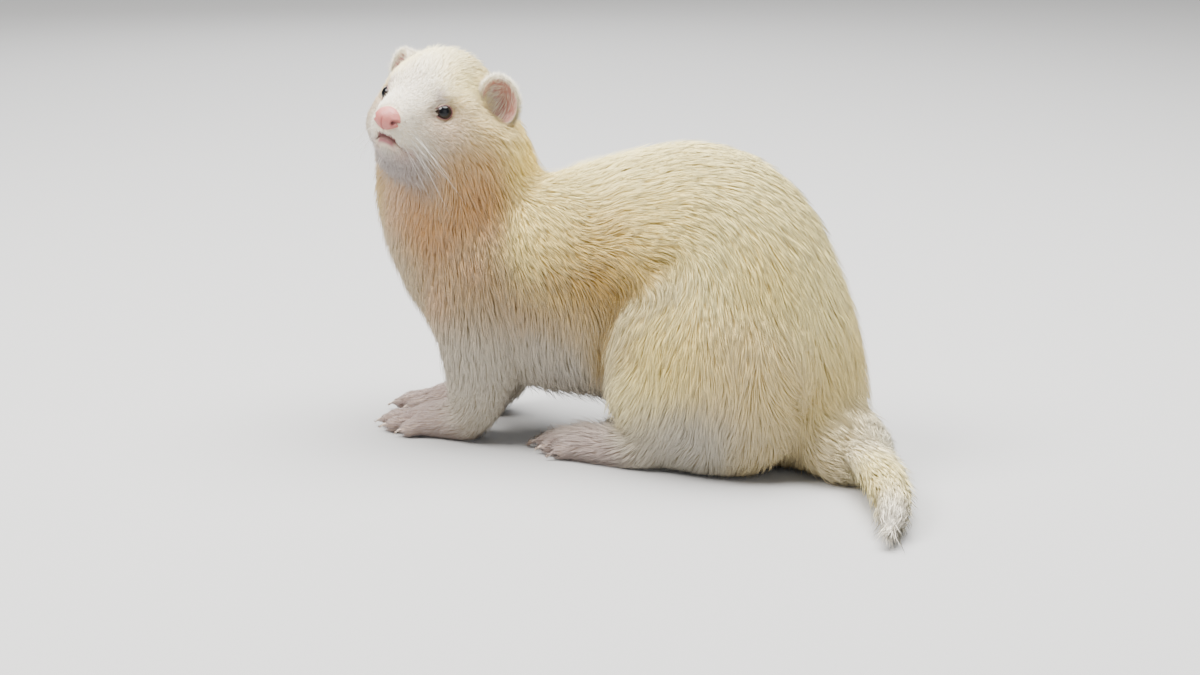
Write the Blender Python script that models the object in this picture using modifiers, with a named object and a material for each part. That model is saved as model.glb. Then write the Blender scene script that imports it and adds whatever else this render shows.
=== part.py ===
"""A life-size ferret that sits on its front legs, its back arched and its head turned to its left.

The animal faces -Y, its left side is +X and the floor is Z = 0. All sizes are in metres.
"""

import math
import random

import bmesh
import bpy
import numpy as np
from mathutils import Matrix, Vector

# Driving dimensions
GAP = 0.0003
BACK_LENGTH = 0.206
BACK_HEIGHT = 0.139
BODY_HALF_WIDTH = 0.040
CHEST_FRONT = -0.102
CHEST_HALF_WIDTH = 0.0345
HEAD_LENGTH = 0.070
HEAD_HALF_WIDTH = 0.0255
HEAD_HEIGHT = 0.054
TAIL_LENGTH = 0.118
TAIL_RADIUS = 0.0180

# Where the point between the eyes lies, and how the head is turned
EYES_PLACE = Vector((0.0240, -0.0738, 0.1533))
HEAD_TURN = math.radians(79.0)
HEAD_PITCH = math.radians(6.3)
HEAD_ROLL = math.radians(10.7)

# Fineness of the blended body, and how often each part of it is smoothed
VOXEL = 0.0011
BODY_TRIANGLES = 6100
FACE_SHARE = 0.0007
SOFT_STEPS = 70
COLLAR_STEPS = 220


def clear_scene():
    """Starts from an empty file."""
    for old in list(bpy.data.objects):
        bpy.data.objects.remove(old, do_unlink=True)


def material(name, colour, roughness):
    """One plain finish."""
    made = bpy.data.materials.new(name)
    made.use_nodes = True
    shader = made.node_tree.nodes["Principled BSDF"]
    shader.inputs["Base Color"].default_value = (*colour, 1.0)
    shader.inputs["Roughness"].default_value = roughness
    shader.inputs["Metallic"].default_value = 0.0
    return made


clear_scene()
ferret = bpy.data.collections.new("ferret")
cutters = bpy.data.collections.new("cutters")
for collection in (ferret, cutters):
    bpy.context.scene.collection.children.link(collection)

CREAM_COAT = material("cream_coat", (0.80, 0.69, 0.47), 0.85)
WHITE_COAT = material("white_coat", (0.84, 0.79, 0.70), 0.85)
PINK_SKIN = material("pink_skin", (0.74, 0.42, 0.36), 0.55)
DARK_EYE = material("dark_eye", (0.012, 0.010, 0.012), 0.06)


def head_frame():
    """The head's own axes, forward, left and up, with the origin between the eyes."""
    forward = Vector(
        (
            math.sin(HEAD_TURN) * math.cos(HEAD_PITCH),
            -math.cos(HEAD_TURN) * math.cos(HEAD_PITCH),
            math.sin(HEAD_PITCH),
        )
    )
    level_left = Vector((0, 0, 1)).cross(forward).normalized()
    level_up = forward.cross(level_left)
    left = level_left * math.cos(HEAD_ROLL) - level_up * math.sin(HEAD_ROLL)
    up = forward.cross(left)
    axes = Matrix((forward, left, up)).transposed().to_4x4()
    return Matrix.Translation(EYES_PLACE) @ axes


WORLD = Matrix.Identity(4)
HEAD = head_frame()


def smooth_rows(rows, steps):
    """Rows of values on one smooth curve through the given rows, with this many steps a span."""
    rows = np.array(rows, float)
    padded = np.vstack([2 * rows[0] - rows[1], rows, 2 * rows[-1] - rows[-2]])
    curve = []
    for before, start, end, after in zip(padded, padded[1:], padded[2:], padded[3:]):
        for part in np.arange(steps) / steps:
            linear = (end - before) * part
            square = (2 * before - 5 * start + 4 * end - after) * part**2
            cube = (3 * start - before - 3 * end + after) * part**3
            curve.append(0.5 * (2 * start + linear + square + cube))
    curve.append(rows[-1])
    return np.array(curve)


def new_object(name, mesh, collection):
    """An object that shows a mesh, in a collection."""
    made = bpy.data.objects.new(name, mesh)
    collection.objects.link(made)
    return made


def loft(name, rings, collection=cutters):
    """A closed body through rings of points, each end drawn to the middle of its ring."""
    rings = np.asarray(rings, float)
    count, sides = rings.shape[:2]
    points = np.vstack([rings.reshape(-1, 3), rings[0].mean(0), rings[-1].mean(0)])
    first_pole, last_pole = count * sides, count * sides + 1
    faces = []
    for side in range(sides):
        beside = (side + 1) % sides
        faces.append((first_pole, beside, side))
        last = (count - 1) * sides
        faces.append((last_pole, last + side, last + beside))
        for ring in range(count - 1):
            low, high = ring * sides, (ring + 1) * sides
            faces.append((low + side, low + beside, high + beside, high + side))
    mesh = bpy.data.meshes.new(name)
    mesh.from_pydata(points.tolist(), [], faces)
    shape = bmesh.new()
    shape.from_mesh(mesh)
    bmesh.ops.recalc_face_normals(shape, faces=shape.faces)
    shape.to_mesh(mesh)
    shape.free()
    return new_object(name, mesh, collection)


SIDES = 40
AROUND = np.linspace(0, 2 * math.pi, SIDES, endpoint=False)


def egg_ring(half_width, above, below, fullness=1.0):
    """A ring's points across and up, with its own height above and below its widest level.

    A fullness under one makes the ring squarer.
    """
    across = np.sign(np.cos(AROUND)) * np.abs(np.cos(AROUND)) ** fullness
    up = np.sign(np.sin(AROUND)) * np.abs(np.sin(AROUND)) ** fullness
    return half_width * across, np.where(up > 0, above, below) * up


def torso():
    """Upright slices from the chest to the rump: place along, top, underside, width, widest level."""
    slices = [
        (-0.39, 0.63, 0.45, 0.36, 0.54),
        (-0.36, 0.74, 0.37, 0.60, 0.54),
        (-0.30, 0.80, 0.30, 0.74, 0.52),
        (-0.21, 0.845, 0.215, 0.84, 0.50),
        (-0.12, 0.855, 0.18, 0.89, 0.49),
        (-0.025, 0.905, 0.185, 0.91, 0.475),
        (0.07, 0.955, 0.175, 0.93, 0.46),
        (0.165, 0.990, 0.12, 0.965, 0.43),
        (0.25, 1.0, 0.06, 0.99, 0.40),
        (0.335, 0.975, 0.012, 1.0, 0.36),
        (0.41, 0.915, -0.01, 0.95, 0.33),
        (0.47, 0.82, -0.01, 0.85, 0.30),
        (0.525, 0.66, -0.005, 0.70, 0.27),
        (0.57, 0.49, 0.03, 0.49, 0.23),
        (0.60, 0.31, 0.07, 0.26, 0.18),
    ]
    rings = []
    for along, top, under, width, wide in smooth_rows(slices, 3):
        across, up = egg_ring(
            width * BODY_HALF_WIDTH, (top - wide) * BACK_HEIGHT, (wide - under) * BACK_HEIGHT
        )
        ring = np.empty((SIDES, 3))
        ring[:, 0] = across
        ring[:, 1] = along * BACK_LENGTH
        ring[:, 2] = wide * BACK_HEIGHT + up
        rings.append(ring)
    return loft("torso_form", rings)


def neck():
    """Level slices from between the forelegs to the skull: height, front, back, width, middle."""
    slices = [
        (0.038, 0.66, 0.43, 0.45, 0.0),
        (0.044, 0.69, 0.38, 0.70, 0.0),
        (0.053, 0.74, 0.32, 0.88, 0.0),
        (0.064, 0.82, 0.26, 0.97, 0.0),
        (0.076, 0.895, 0.23, 1.0, 0.0),
        (0.090, 0.955, 0.225, 1.0, 0.0),
        (0.105, 0.990, 0.245, 0.97, 0.0),
        (0.118, 1.0, 0.267, 0.94, 0.002),
        (0.128, 0.985, 0.285, 0.91, 0.004),
        (0.138, 0.945, 0.305, 0.85, 0.007),
        (0.148, 0.880, 0.345, 0.73, 0.009),
        (0.157, 0.800, 0.395, 0.50, 0.010),
    ]
    rings = []
    for height, front, back, width, middle in smooth_rows(slices, 3):
        front_y, back_y = front * CHEST_FRONT, back * CHEST_FRONT
        ring = np.empty((SIDES, 3))
        ring[:, 0] = middle + width * CHEST_HALF_WIDTH * np.cos(AROUND)
        ring[:, 1] = (front_y + back_y) / 2 + (front_y - back_y) / 2 * np.sin(AROUND)
        ring[:, 2] = height
        rings.append(ring)
    return loft("neck_form", rings)


def to_world(frame, points):
    """Points given along a frame's own axes, in world space."""
    frame = np.array(frame)
    return np.asarray(points) @ frame[:3, :3].T + frame[:3, 3]


def head_slices(name, slices, fullness):
    """A loft along the head: place forward of the eyes, width, top, underside and widest level."""
    rings = []
    for forward, width, top, under, wide in smooth_rows(slices, 3):
        above, below = (top - wide) * HEAD_HEIGHT, (wide - under) * HEAD_HEIGHT
        across, up = egg_ring(width * HEAD_HALF_WIDTH, above, below, fullness)
        ring = np.empty((SIDES, 3))
        ring[:, 0] = forward * HEAD_LENGTH
        ring[:, 1] = across
        ring[:, 2] = wide * HEAD_HEIGHT + up
        rings.append(to_world(HEAD, ring))
    return loft(name, rings)


def head():
    """The skull with its full cheeks, the short muzzle and the lower jaw."""
    skull = [
        (-0.66, 0.38, 0.08, -0.26, -0.06),
        (-0.60, 0.66, 0.24, -0.40, -0.09),
        (-0.49, 0.88, 0.37, -0.52, -0.15),
        (-0.36, 0.97, 0.435, -0.58, -0.19),
        (-0.23, 0.99, 0.440, -0.59, -0.22),
        (-0.115, 0.985, 0.395, -0.575, -0.24),
        (-0.03, 0.95, 0.315, -0.54, -0.24),
        (0.05, 0.87, 0.225, -0.49, -0.235),
        (0.12, 0.71, 0.130, -0.42, -0.22),
        (0.17, 0.50, 0.040, -0.34, -0.19),
        (0.20, 0.22, -0.05, -0.26, -0.17),
    ]
    muzzle = [
        (-0.10, 0.48, 0.250, -0.37, -0.14),
        (0.00, 0.53, 0.205, -0.395, -0.17),
        (0.08, 0.525, 0.155, -0.385, -0.19),
        (0.15, 0.475, 0.100, -0.355, -0.20),
        (0.215, 0.40, 0.048, -0.315, -0.19),
        (0.260, 0.31, 0.000, -0.280, -0.175),
        (0.298, 0.20, -0.050, -0.245, -0.16),
        (0.318, 0.09, -0.100, -0.205, -0.15),
    ]
    jaw = [
        (-0.16, 0.66, -0.22, -0.565, -0.38),
        (-0.04, 0.66, -0.20, -0.560, -0.37),
        (0.06, 0.58, -0.20, -0.530, -0.355),
        (0.13, 0.48, -0.20, -0.490, -0.335),
        (0.19, 0.37, -0.20, -0.445, -0.32),
        (0.235, 0.25, -0.21, -0.395, -0.30),
        (0.258, 0.12, -0.24, -0.345, -0.29),
    ]
    return [
        head_slices("skull_form", skull, 0.95),
        head_slices("muzzle_form", muzzle, 0.80),
        head_slices("jaw_form", jaw, 0.90),
    ]


def limb(name, path, sides=SIDES, steps=4):
    """A round limb along a path of (x, y, z, half width, half depth)."""
    rows = smooth_rows(path, steps)
    around = np.linspace(0, 2 * math.pi, sides, endpoint=False)
    centres = rows[:, :3]
    tangents = np.gradient(centres, axis=0)
    tangents /= np.linalg.norm(tangents, axis=1)[:, None]
    level = (0.0, 0.0, 1.0) if abs(tangents[0, 1]) > 0.75 else (0.0, 1.0, 0.0)
    across = [np.cross(tangents[0], level)]
    for tangent in tangents:
        side = across[-1] - (across[-1] @ tangent) * tangent
        across.append(side / np.linalg.norm(side))
    across = np.array(across[1:])
    other = np.cross(tangents, across)
    rings = []
    for centre, side, front, row in zip(centres, across, other, rows):
        rings.append(
            centre
            + row[3] * np.cos(around)[:, None] * side
            + row[4] * np.sin(around)[:, None] * front
        )
    return loft(name, rings)


def mirrored(path, shift):
    """A left limb's path on the right side, moved by shift."""
    rows = np.array(path, float)
    rows[:, 0] = -rows[:, 0] + shift[0]
    rows[:, 1] += shift[1]
    return rows


# The forelegs stand nearly upright, the right one a little ahead of the left
FORELEG = [
    (0.021, -0.050, 0.098, 0.010, 0.018),
    (0.023, -0.048, 0.084, 0.0145, 0.023),
    (0.0245, -0.046, 0.064, 0.0150, 0.0225),
    (0.0245, -0.045, 0.046, 0.0140, 0.0190),
    (0.0225, -0.046, 0.030, 0.0125, 0.0155),
    (0.0195, -0.050, 0.016, 0.0110, 0.0120),
    (0.0175, -0.055, 0.0085, 0.0100, 0.0085),
]
FOREPAW = [
    (0.0175, -0.048, 0.0085, 0.0080, 0.0075),
    (0.0170, -0.054, 0.0085, 0.0098, 0.0088),
    (0.0155, -0.064, 0.0080, 0.0108, 0.0088),
    (0.0140, -0.074, 0.0062, 0.0112, 0.0070),
    (0.0130, -0.082, 0.0050, 0.0098, 0.0056),
]
# Each toe's knuckle and tip, from the inner one to the outer one
FORE_TOES = [
    ((0.0080, -0.0760), (0.0020, -0.0900)),
    ((0.0100, -0.0800), (0.0060, -0.0985)),
    ((0.0140, -0.0810), (0.0135, -0.0985)),
    ((0.0185, -0.0790), (0.0205, -0.0930)),
    ((0.0220, -0.0730), (0.0265, -0.0830)),
]
HIND_FOOT = [
    (0.0300, 0.0440, 0.0070, 0.0080, 0.0075),
    (0.0290, 0.0340, 0.0075, 0.0100, 0.0085),
    (0.0270, 0.0200, 0.0070, 0.0105, 0.0080),
    (0.0245, 0.0060, 0.0060, 0.0115, 0.0068),
    (0.0225, -0.0040, 0.0050, 0.0105, 0.0056),
]
HIND_TOES = [
    ((0.0165, 0.0020), (0.0100, -0.0105)),
    ((0.0180, -0.0030), (0.0135, -0.0190)),
    ((0.0220, -0.0045), (0.0210, -0.0195)),
    ((0.0260, -0.0030), (0.0285, -0.0140)),
    ((0.0300, 0.0020), (0.0345, -0.0055)),
]
# Each toe arches from just behind its knuckle down to its tip: place along it, height and thickness
TOE_RADIUS = 0.0036
TOE_ARCH = (
    (-0.25, 0.0056, 1.0),
    (0.0, 0.0056, 1.0),
    (0.55, 0.0044, 0.98),
    (0.9, 0.0030, 0.86),
    (1.0, 0.0024, 0.45),
)
# The folded hind leg: the haunch, and the knee low at its front
HAUNCH_FORMS = (
    ("haunch", (0.0270, 0.0640, 0.0420), (0.0205, 0.0460, 0.0450)),
    ("knee", (0.0285, 0.0440, 0.0330), (0.0160, 0.0262, 0.0240)),
)
RIGHT_FORE_SHIFT = (-0.0080, -0.0055)
RIGHT_HIND_SHIFT = (0.0, 0.0220)
RIGHT_HAUNCH_SHIFT = (0.0, 0.0060)
RIGHT_ANKLE_SHIFT = (0.0, 0.0070)


def placed(path, sign, shift):
    """A limb's path on its own side of the body."""
    return np.array(path, float) if sign > 0 else mirrored(path, shift)


def toe_place(spot, sign, shift):
    """A toe's knuckle or tip on the floor plan of its own side."""
    return spot if sign > 0 else (-spot[0] + shift[0], spot[1] + shift[1])


def toes(name, plan, sign, shift):
    """The toes of one foot."""
    made = []
    for number, (knuckle, tip) in enumerate(plan):
        near = np.array(toe_place(knuckle, sign, shift))
        far = np.array(toe_place(tip, sign, shift))
        path = []
        for share, height, size in TOE_ARCH:
            spot = near + share * (far - near)
            path.append((*spot, height, size * TOE_RADIUS, size * TOE_RADIUS))
        made.append(limb(f"{name}_toe_{number}", path))
    return made


def to_collection(target, collection):
    """Moves an object from the collections it is in to another."""
    for holder in list(target.users_collection):
        holder.objects.unlink(target)
    collection.objects.link(target)


def ellipsoid(name, centre, radii, axes=WORLD, segments=48, rings=32):
    """A ball stretched to three radii, along the world's axes or a frame's own."""
    bpy.ops.mesh.primitive_uv_sphere_add(segments=segments, ring_count=rings, radius=1.0)
    made = bpy.context.object
    made.name = name
    to_collection(made, cutters)
    place = axes @ Matrix.Translation(centre) @ Matrix.Diagonal((*radii, 1.0))
    made.data.transform(place)
    if place.determinant() < 0:
        made.data.flip_normals()
    return made


def legs():
    """Both forelegs and hind legs, with their feet and toes."""
    made = []
    for side, sign in (("left", 1), ("right", -1)):
        made.append(limb(f"foreleg_{side}_form", placed(FORELEG, sign, RIGHT_FORE_SHIFT)))
        made.append(limb(f"forepaw_{side}_form", placed(FOREPAW, sign, RIGHT_FORE_SHIFT)))
        made += toes(f"fore_{side}", FORE_TOES, sign, RIGHT_FORE_SHIFT)
        made.append(limb(f"hind_foot_{side}_form", placed(HIND_FOOT, sign, RIGHT_HIND_SHIFT)))
        made += toes(f"hind_{side}", HIND_TOES, sign, RIGHT_HIND_SHIFT)
        shift = (0.0, 0.0) if sign > 0 else RIGHT_HAUNCH_SHIFT
        for name, centre, radii in HAUNCH_FORMS:
            place = (sign * centre[0] + shift[0], centre[1] + shift[1], centre[2])
            made.append(ellipsoid(f"{name}_{side}_form", place, radii))
    return made


def join(objects, name):
    """One object of several loose bodies."""
    bpy.ops.object.select_all(action="DESELECT")
    for piece in objects:
        piece.select_set(True)
    bpy.context.view_layer.objects.active = objects[0]
    bpy.ops.object.join()
    joined = bpy.context.object
    joined.name = name
    return joined


def apply_all(target):
    """Makes an object's modifiers part of its mesh."""
    graph = bpy.context.evaluated_depsgraph_get()
    graph.update()
    mesh = bpy.data.meshes.new_from_object(target.evaluated_get(graph))
    target.modifiers.clear()
    target.data = mesh
    return target


def points_of(target):
    """An object's points, one in each row."""
    points = np.empty(len(target.data.vertices) * 3)
    target.data.vertices.foreach_get("co", points)
    return points.reshape(-1, 3)


WEIGHT_LEVELS = 20


def weight_group(target, name, weights):
    """A vertex group with one weight for each point."""
    group = target.vertex_groups.new(name=name)
    levels = np.round(np.clip(weights, 0.0, 1.0) * WEIGHT_LEVELS).astype(int)
    for level in range(WEIGHT_LEVELS + 1):
        chosen = np.flatnonzero(levels == level)
        group.add(chosen.tolist(), level / WEIGHT_LEVELS, "REPLACE")


def hill(distance, width):
    """One at no distance, falling smoothly to nothing past the width."""
    return np.exp(-((distance / width) ** 2))


def blended_body():
    """The lofts become one skin, whose creases at the shoulders and haunches are smoothed."""
    blend = join([torso(), neck(), *head(), *legs(), tail_root()], "body")
    remesh = blend.modifiers.new("blend", "REMESH")
    remesh.mode = "VOXEL"
    remesh.voxel_size = VOXEL
    apply_all(blend)
    points = points_of(blend)
    local = to_local(points)
    # the face and the feet keep more of their form than the rest
    face = np.clip((local[:, 0] + 0.014) / 0.012, 0, 1)
    face *= np.linalg.norm(local, axis=1) < 0.045
    feet = np.clip((0.024 - points[:, 2]) / 0.010, 0, 1)
    weight_group(blend, "soft", 1.0 - np.maximum(0.62 * face, 0.88 * feet))
    behind_jaw = np.linalg.norm(local - JAW_ANGLE, axis=1)
    weight_group(blend, "collar", 1.1 * hill(behind_jaw, 0.038) * (1.0 - face))
    for name, steps in (("soft", SOFT_STEPS), ("collar", COLLAR_STEPS)):
        smooth = blend.modifiers.new(name, "SMOOTH")
        smooth.factor = 0.5
        smooth.iterations = steps
        smooth.vertex_group = name
    apply_all(blend)
    return blend


def to_local(points):
    """World points along the head's forward, left and up axes."""
    frame = np.array(HEAD)
    return (points - frame[:3, 3]) @ frame[:3, :3]


# Places on the head, along its forward, left and up axes
JAW_ANGLE = np.array((-0.022, 0.0, -0.026))
EYE_SPOT = np.array((0.0008, 0.0158, 0.0003))
EYE_AXIS = np.array((0.74, 0.64, 0.20)) / np.linalg.norm((0.74, 0.64, 0.20))
EYE_RADIUS = 0.0041
EYE_OPENING = 0.0034
LID_RISE = 0.0006
MOUTH_DEPTH = 0.0006
LIP_RISE = 0.0002
PARTING_DEPTH = 0.0008
NOSE_CENTRE = Vector((0.0186, 0.0, -0.0062))
NOSE_RADII = (0.0052, 0.0061, 0.0052)
NOSE_GROOVE = (Vector((0.0238, 0.0, -0.0085)), (0.0014, 0.0004, 0.0034))
NOSTRIL_PLACE = (0.0224, 0.0036, -0.0082)
NOSTRIL_AXIS = (1.0, 0.9, -0.1)
NOSTRIL_RADII = (0.0017, 0.0009, 0.0022)
UPRIGHT = (0, 0, 1)
# The line of the mouth, as places forward and up
MOUTH_PLACES = (
    (0.000, -0.0235),
    (0.004, -0.0222),
    (0.011, -0.0190),
    (0.017, -0.0155),
    (0.024, -0.0132),
)


def finer_face(target):
    """Splits the faces of the muzzle and round the eyes, for the small forms there."""
    local = to_local(points_of(target))
    shape = bmesh.new()
    shape.from_mesh(target.data)
    shape.verts.ensure_lookup_table()
    near = (local[:, 0] > -0.006) & (np.linalg.norm(local, axis=1) < 0.036)
    chosen = []
    for edge in shape.edges:
        first, second = edge.verts
        if near[first.index] and near[second.index]:
            chosen.append(edge)
    bmesh.ops.subdivide_edges(shape, edges=chosen, cuts=1, use_grid_fill=True)
    shape.to_mesh(target.data)
    shape.free()


def carve_face(target):
    """Presses the eye sockets, the lids' rims, the line of the mouth and the lips into the head."""
    points = points_of(target)
    normals = np.empty(len(points) * 3)
    target.data.vertices.foreach_get("normal", normals)
    normals = normals.reshape(-1, 3)
    local = to_local(points)
    inward = -normals @ np.array(HEAD)[:3, :3]
    side = np.where(local[:, 1] < 0, -1.0, 1.0)
    mirror = np.stack([np.ones_like(side), side, np.ones_like(side)], axis=1)
    beside_eye = local * mirror - EYE_SPOT
    depth = beside_eye @ EYE_AXIS
    away = np.linalg.norm(beside_eye - depth[:, None] * EYE_AXIS, axis=1)
    near = np.abs(depth) < 0.012
    local -= (near * depth * hill(away, 0.0075))[:, None] * EYE_AXIS * mirror
    steepness = np.clip(np.abs(beside_eye[:, 2]) / np.maximum(away, 0.0005), 0.3, 1.0)
    lid = hill(away - 1.05 * EYE_OPENING, 0.0013) * near * steepness
    local += LID_RISE * lid[:, None] * EYE_AXIS * mirror
    forward, across, up = local.T
    line = np.interp(forward, *np.array(MOUTH_PLACES).T)
    from_line = up - line
    reach = np.clip((forward - 0.001) / 0.006, 0, 1) * (forward < 0.03)
    reach *= np.clip((0.0165 - np.abs(across)) / 0.003, 0, 1)
    groove = MOUTH_DEPTH * hill(from_line, 0.0011)
    groove -= LIP_RISE * hill(np.abs(from_line) - 0.0024, 0.0012)
    local += (reach * groove)[:, None] * inward
    # the parting of the upper lip, below the nose
    parting = hill(across, 0.0008) * (forward > 0.012) * (np.abs(up + 0.0115) < 0.0022)
    local += (PARTING_DEPTH * parting)[:, None] * inward
    target.data.vertices.foreach_set("co", to_world(HEAD, local).ravel())
    target.data.update()


def coarsened(target, triangles):
    """Fewer faces, most of them kept on the face and the feet."""
    points = points_of(target)
    local = to_local(points)
    face = (local[:, 0] > -0.010) & (np.linalg.norm(local, axis=1) < 0.036)
    head_part = np.linalg.norm(local + np.array((0.012, 0, 0)), axis=1) < 0.045
    feet = points[:, 2] < 0.014
    feet &= (points[:, 1] < -0.045) | ((points[:, 1] < 0.022) & (np.abs(points[:, 0]) < 0.045))
    weight_group(target, "plain", 1.0 - 0.9 * face - 0.35 * (head_part & ~face) - 0.45 * feet)
    fewer = target.modifiers.new("fewer", "DECIMATE")
    faces = sum(len(face.vertices) - 2 for face in target.data.polygons)
    fewer.ratio = triangles / faces
    fewer.use_collapse_triangulate = True
    fewer.vertex_group = "plain"
    fewer.vertex_group_factor = FACE_SHARE
    apply_all(target)


def boolean(target, tool, operation):
    """Cuts or joins an object with a closed one, and makes the result its mesh."""
    step = target.modifiers.new(operation.lower(), "BOOLEAN")
    step.operation = operation
    step.object = tool
    apply_all(target)


def keep_largest(target):
    """Drops every loose scrap but the largest closed surface."""
    shape = bmesh.new()
    shape.from_mesh(target.data)
    shape.verts.ensure_lookup_table()
    seen = np.zeros(len(shape.verts), bool)
    groups = []
    for start in shape.verts:
        if seen[start.index]:
            continue
        seen[start.index] = True
        group, waiting = [], [start]
        while waiting:
            spot = waiting.pop()
            group.append(spot)
            for edge in spot.link_edges:
                other = edge.other_vert(spot)
                if not seen[other.index]:
                    seen[other.index] = True
                    waiting.append(other)
        groups.append(group)
    groups.sort(key=len)
    for group in groups[:-1]:
        bmesh.ops.delete(shape, geom=group, context="VERTS")
    bmesh.ops.triangulate(shape, faces=shape.faces)
    shape.to_mesh(target.data)
    shape.free()


def remove(target):
    """Drops a cutter that has done its work."""
    bpy.data.objects.remove(target, do_unlink=True)


def box(name, low, high, grow=0.0):
    """A block between two corners."""
    low, high = np.array(low) - grow, np.array(high) + grow
    bpy.ops.mesh.primitive_cube_add(size=1.0)
    made = bpy.context.object
    made.name = name
    to_collection(made, cutters)
    made.data.transform(Matrix.Translation((low + high) / 2) @ Matrix.Diagonal((*(high - low), 1.0)))
    return made


def give_finish(target, finish):
    """One finish for the whole of an object."""
    target.data.materials.clear()
    target.data.materials.append(finish)


def taken_from(source, name, finish, tool, grown_tool):
    """The part of a body inside a tool becomes a node, and the body loses it with a thin gap."""
    node = new_object(name, source.data.copy(), ferret)
    boolean(node, tool, "INTERSECT")
    keep_largest(node)
    boolean(source, grown_tool, "DIFFERENCE")
    keep_largest(source)
    remove(tool)
    remove(grown_tool)
    give_finish(node, finish)
    return node


# The tail lies on the floor and curves to the animal's left
TAIL_ROOT = np.array((0.005, 0.104))
TAIL_HEADINGS = (math.radians(22.0), math.radians(88.0))
TAIL_STEPS = 24
# Place along the tail and the brush's radius there, both as shares of the driving sizes
TAIL_RADII = (
    (0.0, 1.0),
    (0.14, 0.97),
    (0.32, 0.84),
    (0.58, 0.68),
    (0.80, 0.50),
    (0.93, 0.28),
    (1.0, 0.06),
)


def tail_path():
    """Points along the tail's middle line, with the brush's radius at each: x, y, z, radius."""
    rows = []
    spot = TAIL_ROOT.copy()
    for step in range(TAIL_STEPS + 1):
        share = step / TAIL_STEPS
        radius = TAIL_RADIUS * np.interp(share, *np.array(TAIL_RADII).T)
        rows.append((*spot, 0.90 * radius, radius))
        heading = TAIL_HEADINGS[0] + (TAIL_HEADINGS[1] - TAIL_HEADINGS[0]) * share**0.7
        spot = spot + TAIL_LENGTH / TAIL_STEPS * np.array((math.sin(heading), math.cos(heading)))
    return np.array(rows)


TAIL_PATH = tail_path()
# The tail's own node starts this many steps along it, where the torso is cut off
ROOT_STEPS = 6
TAIL_CUT_SIZE = 0.046
INSIDE_RUMP = (0.0, 0.085, 0.028, 0.020, 0.020)


def tail_root():
    """The first length of the tail, from inside the rump to well past the cut."""
    rows = [INSIDE_RUMP]
    for x, y, z, radius in TAIL_PATH[: 2 * ROOT_STEPS]:
        rows.append((x, y, z, radius, radius))
    return limb("tail_root_form", rows)


def tail_face(step, along):
    """A frame on the tail's path, its third axis along the tail, moved along by a little."""
    here = Vector(TAIL_PATH[step, :3])
    ahead = Vector(TAIL_PATH[step + 1, :3]) - Vector(TAIL_PATH[step - 1, :3])
    ahead.z = 0.0
    ahead.normalize()
    across = Vector((0, 0, 1)).cross(ahead)
    axes = Matrix((across, Vector((0, 0, 1)), ahead)).transposed().to_4x4()
    return Matrix.Translation(here + along * ahead) @ axes


def block_beyond(name, frame, size):
    """A cube whose first face lies on a frame's plane, so that it fills what is beyond."""
    made = box(name, (-size / 2, -size / 2, 0.0), (size / 2, size / 2, size))
    made.data.transform(frame)
    return made


def ground(target):
    """Flattens what would reach below the floor."""
    below = box("below_floor", (-0.2, -0.2, -0.05), (0.2, 0.25, 0.0))
    boolean(target, below, "DIFFERENCE")
    keep_largest(target)
    remove(below)


def split_by_ball(source, name, finish, centre, radii):
    """Parts a rounded piece, such as a haunch, from the body."""
    grown_radii = [radius + GAP for radius in radii]
    tool = ellipsoid("tool", centre, radii, segments=16, rings=10)
    grown = ellipsoid("grown_tool", centre, grown_radii, segments=16, rings=10)
    return taken_from(source, name, finish, tool, grown)


def split_by_block(source, name, finish, low, high):
    """Parts the piece inside a block from the body."""
    tool = box("tool", low, high)
    grown = box("grown_tool", low, high, GAP)
    return taken_from(source, name, finish, tool, grown)


def split_by_plane(source, name, finish, frame, size):
    """Parts what lies beyond a square of a frame's plane from the body."""
    tool = block_beyond("tool", frame @ Matrix.Translation((0, 0, GAP)), size)
    grown = block_beyond("grown_tool", frame, size)
    return taken_from(source, name, finish, tool, grown)


def plane_frame(place, normal):
    """A frame whose third axis is a plane's normal."""
    turn = Vector((0, 0, 1)).rotation_difference(Vector(normal))
    return Matrix.Translation(place) @ turn.to_matrix().to_4x4()


# Where the body is parted: the haunches and shoulders by rounded cuts, the rest by flat ones
HAUNCH_CUT = ((0.0460, 0.0610, 0.0270), (0.0290, 0.0510, 0.0600))
SHOULDER_CUT = ((0.0300, -0.0470, 0.0200), (0.0300, 0.0270, 0.0580))
FOREPAW_BLOCK = ((-0.0040, -0.1200, -0.0100), (0.0450, -0.0300, 0.0150))
HIND_FOOT_BLOCK = ((0.0020, -0.0340, -0.0100), (0.0480, 0.0190, 0.0185))
HEAD_CUT = ((0.005, -0.072, 0.1260), (0.12, -0.06, 0.99))
HEAD_CUT_SIZE = 0.094
NECK_CUT = ((0.0, -0.062, 0.0920), (0.0, -0.45, 0.893))
NECK_CUT_SIZE = 0.40


def on_side(corners, sign, shift=(0.0, 0.0)):
    """A block's corners on the left or the right side."""
    low, high = np.array(corners)
    if sign > 0:
        return low, high
    moved = np.array((shift[0], shift[1], 0.0))
    return (
        np.array((-high[0], low[1], low[2])) + moved,
        np.array((-low[0], high[1], high[2])) + moved,
    )


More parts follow.
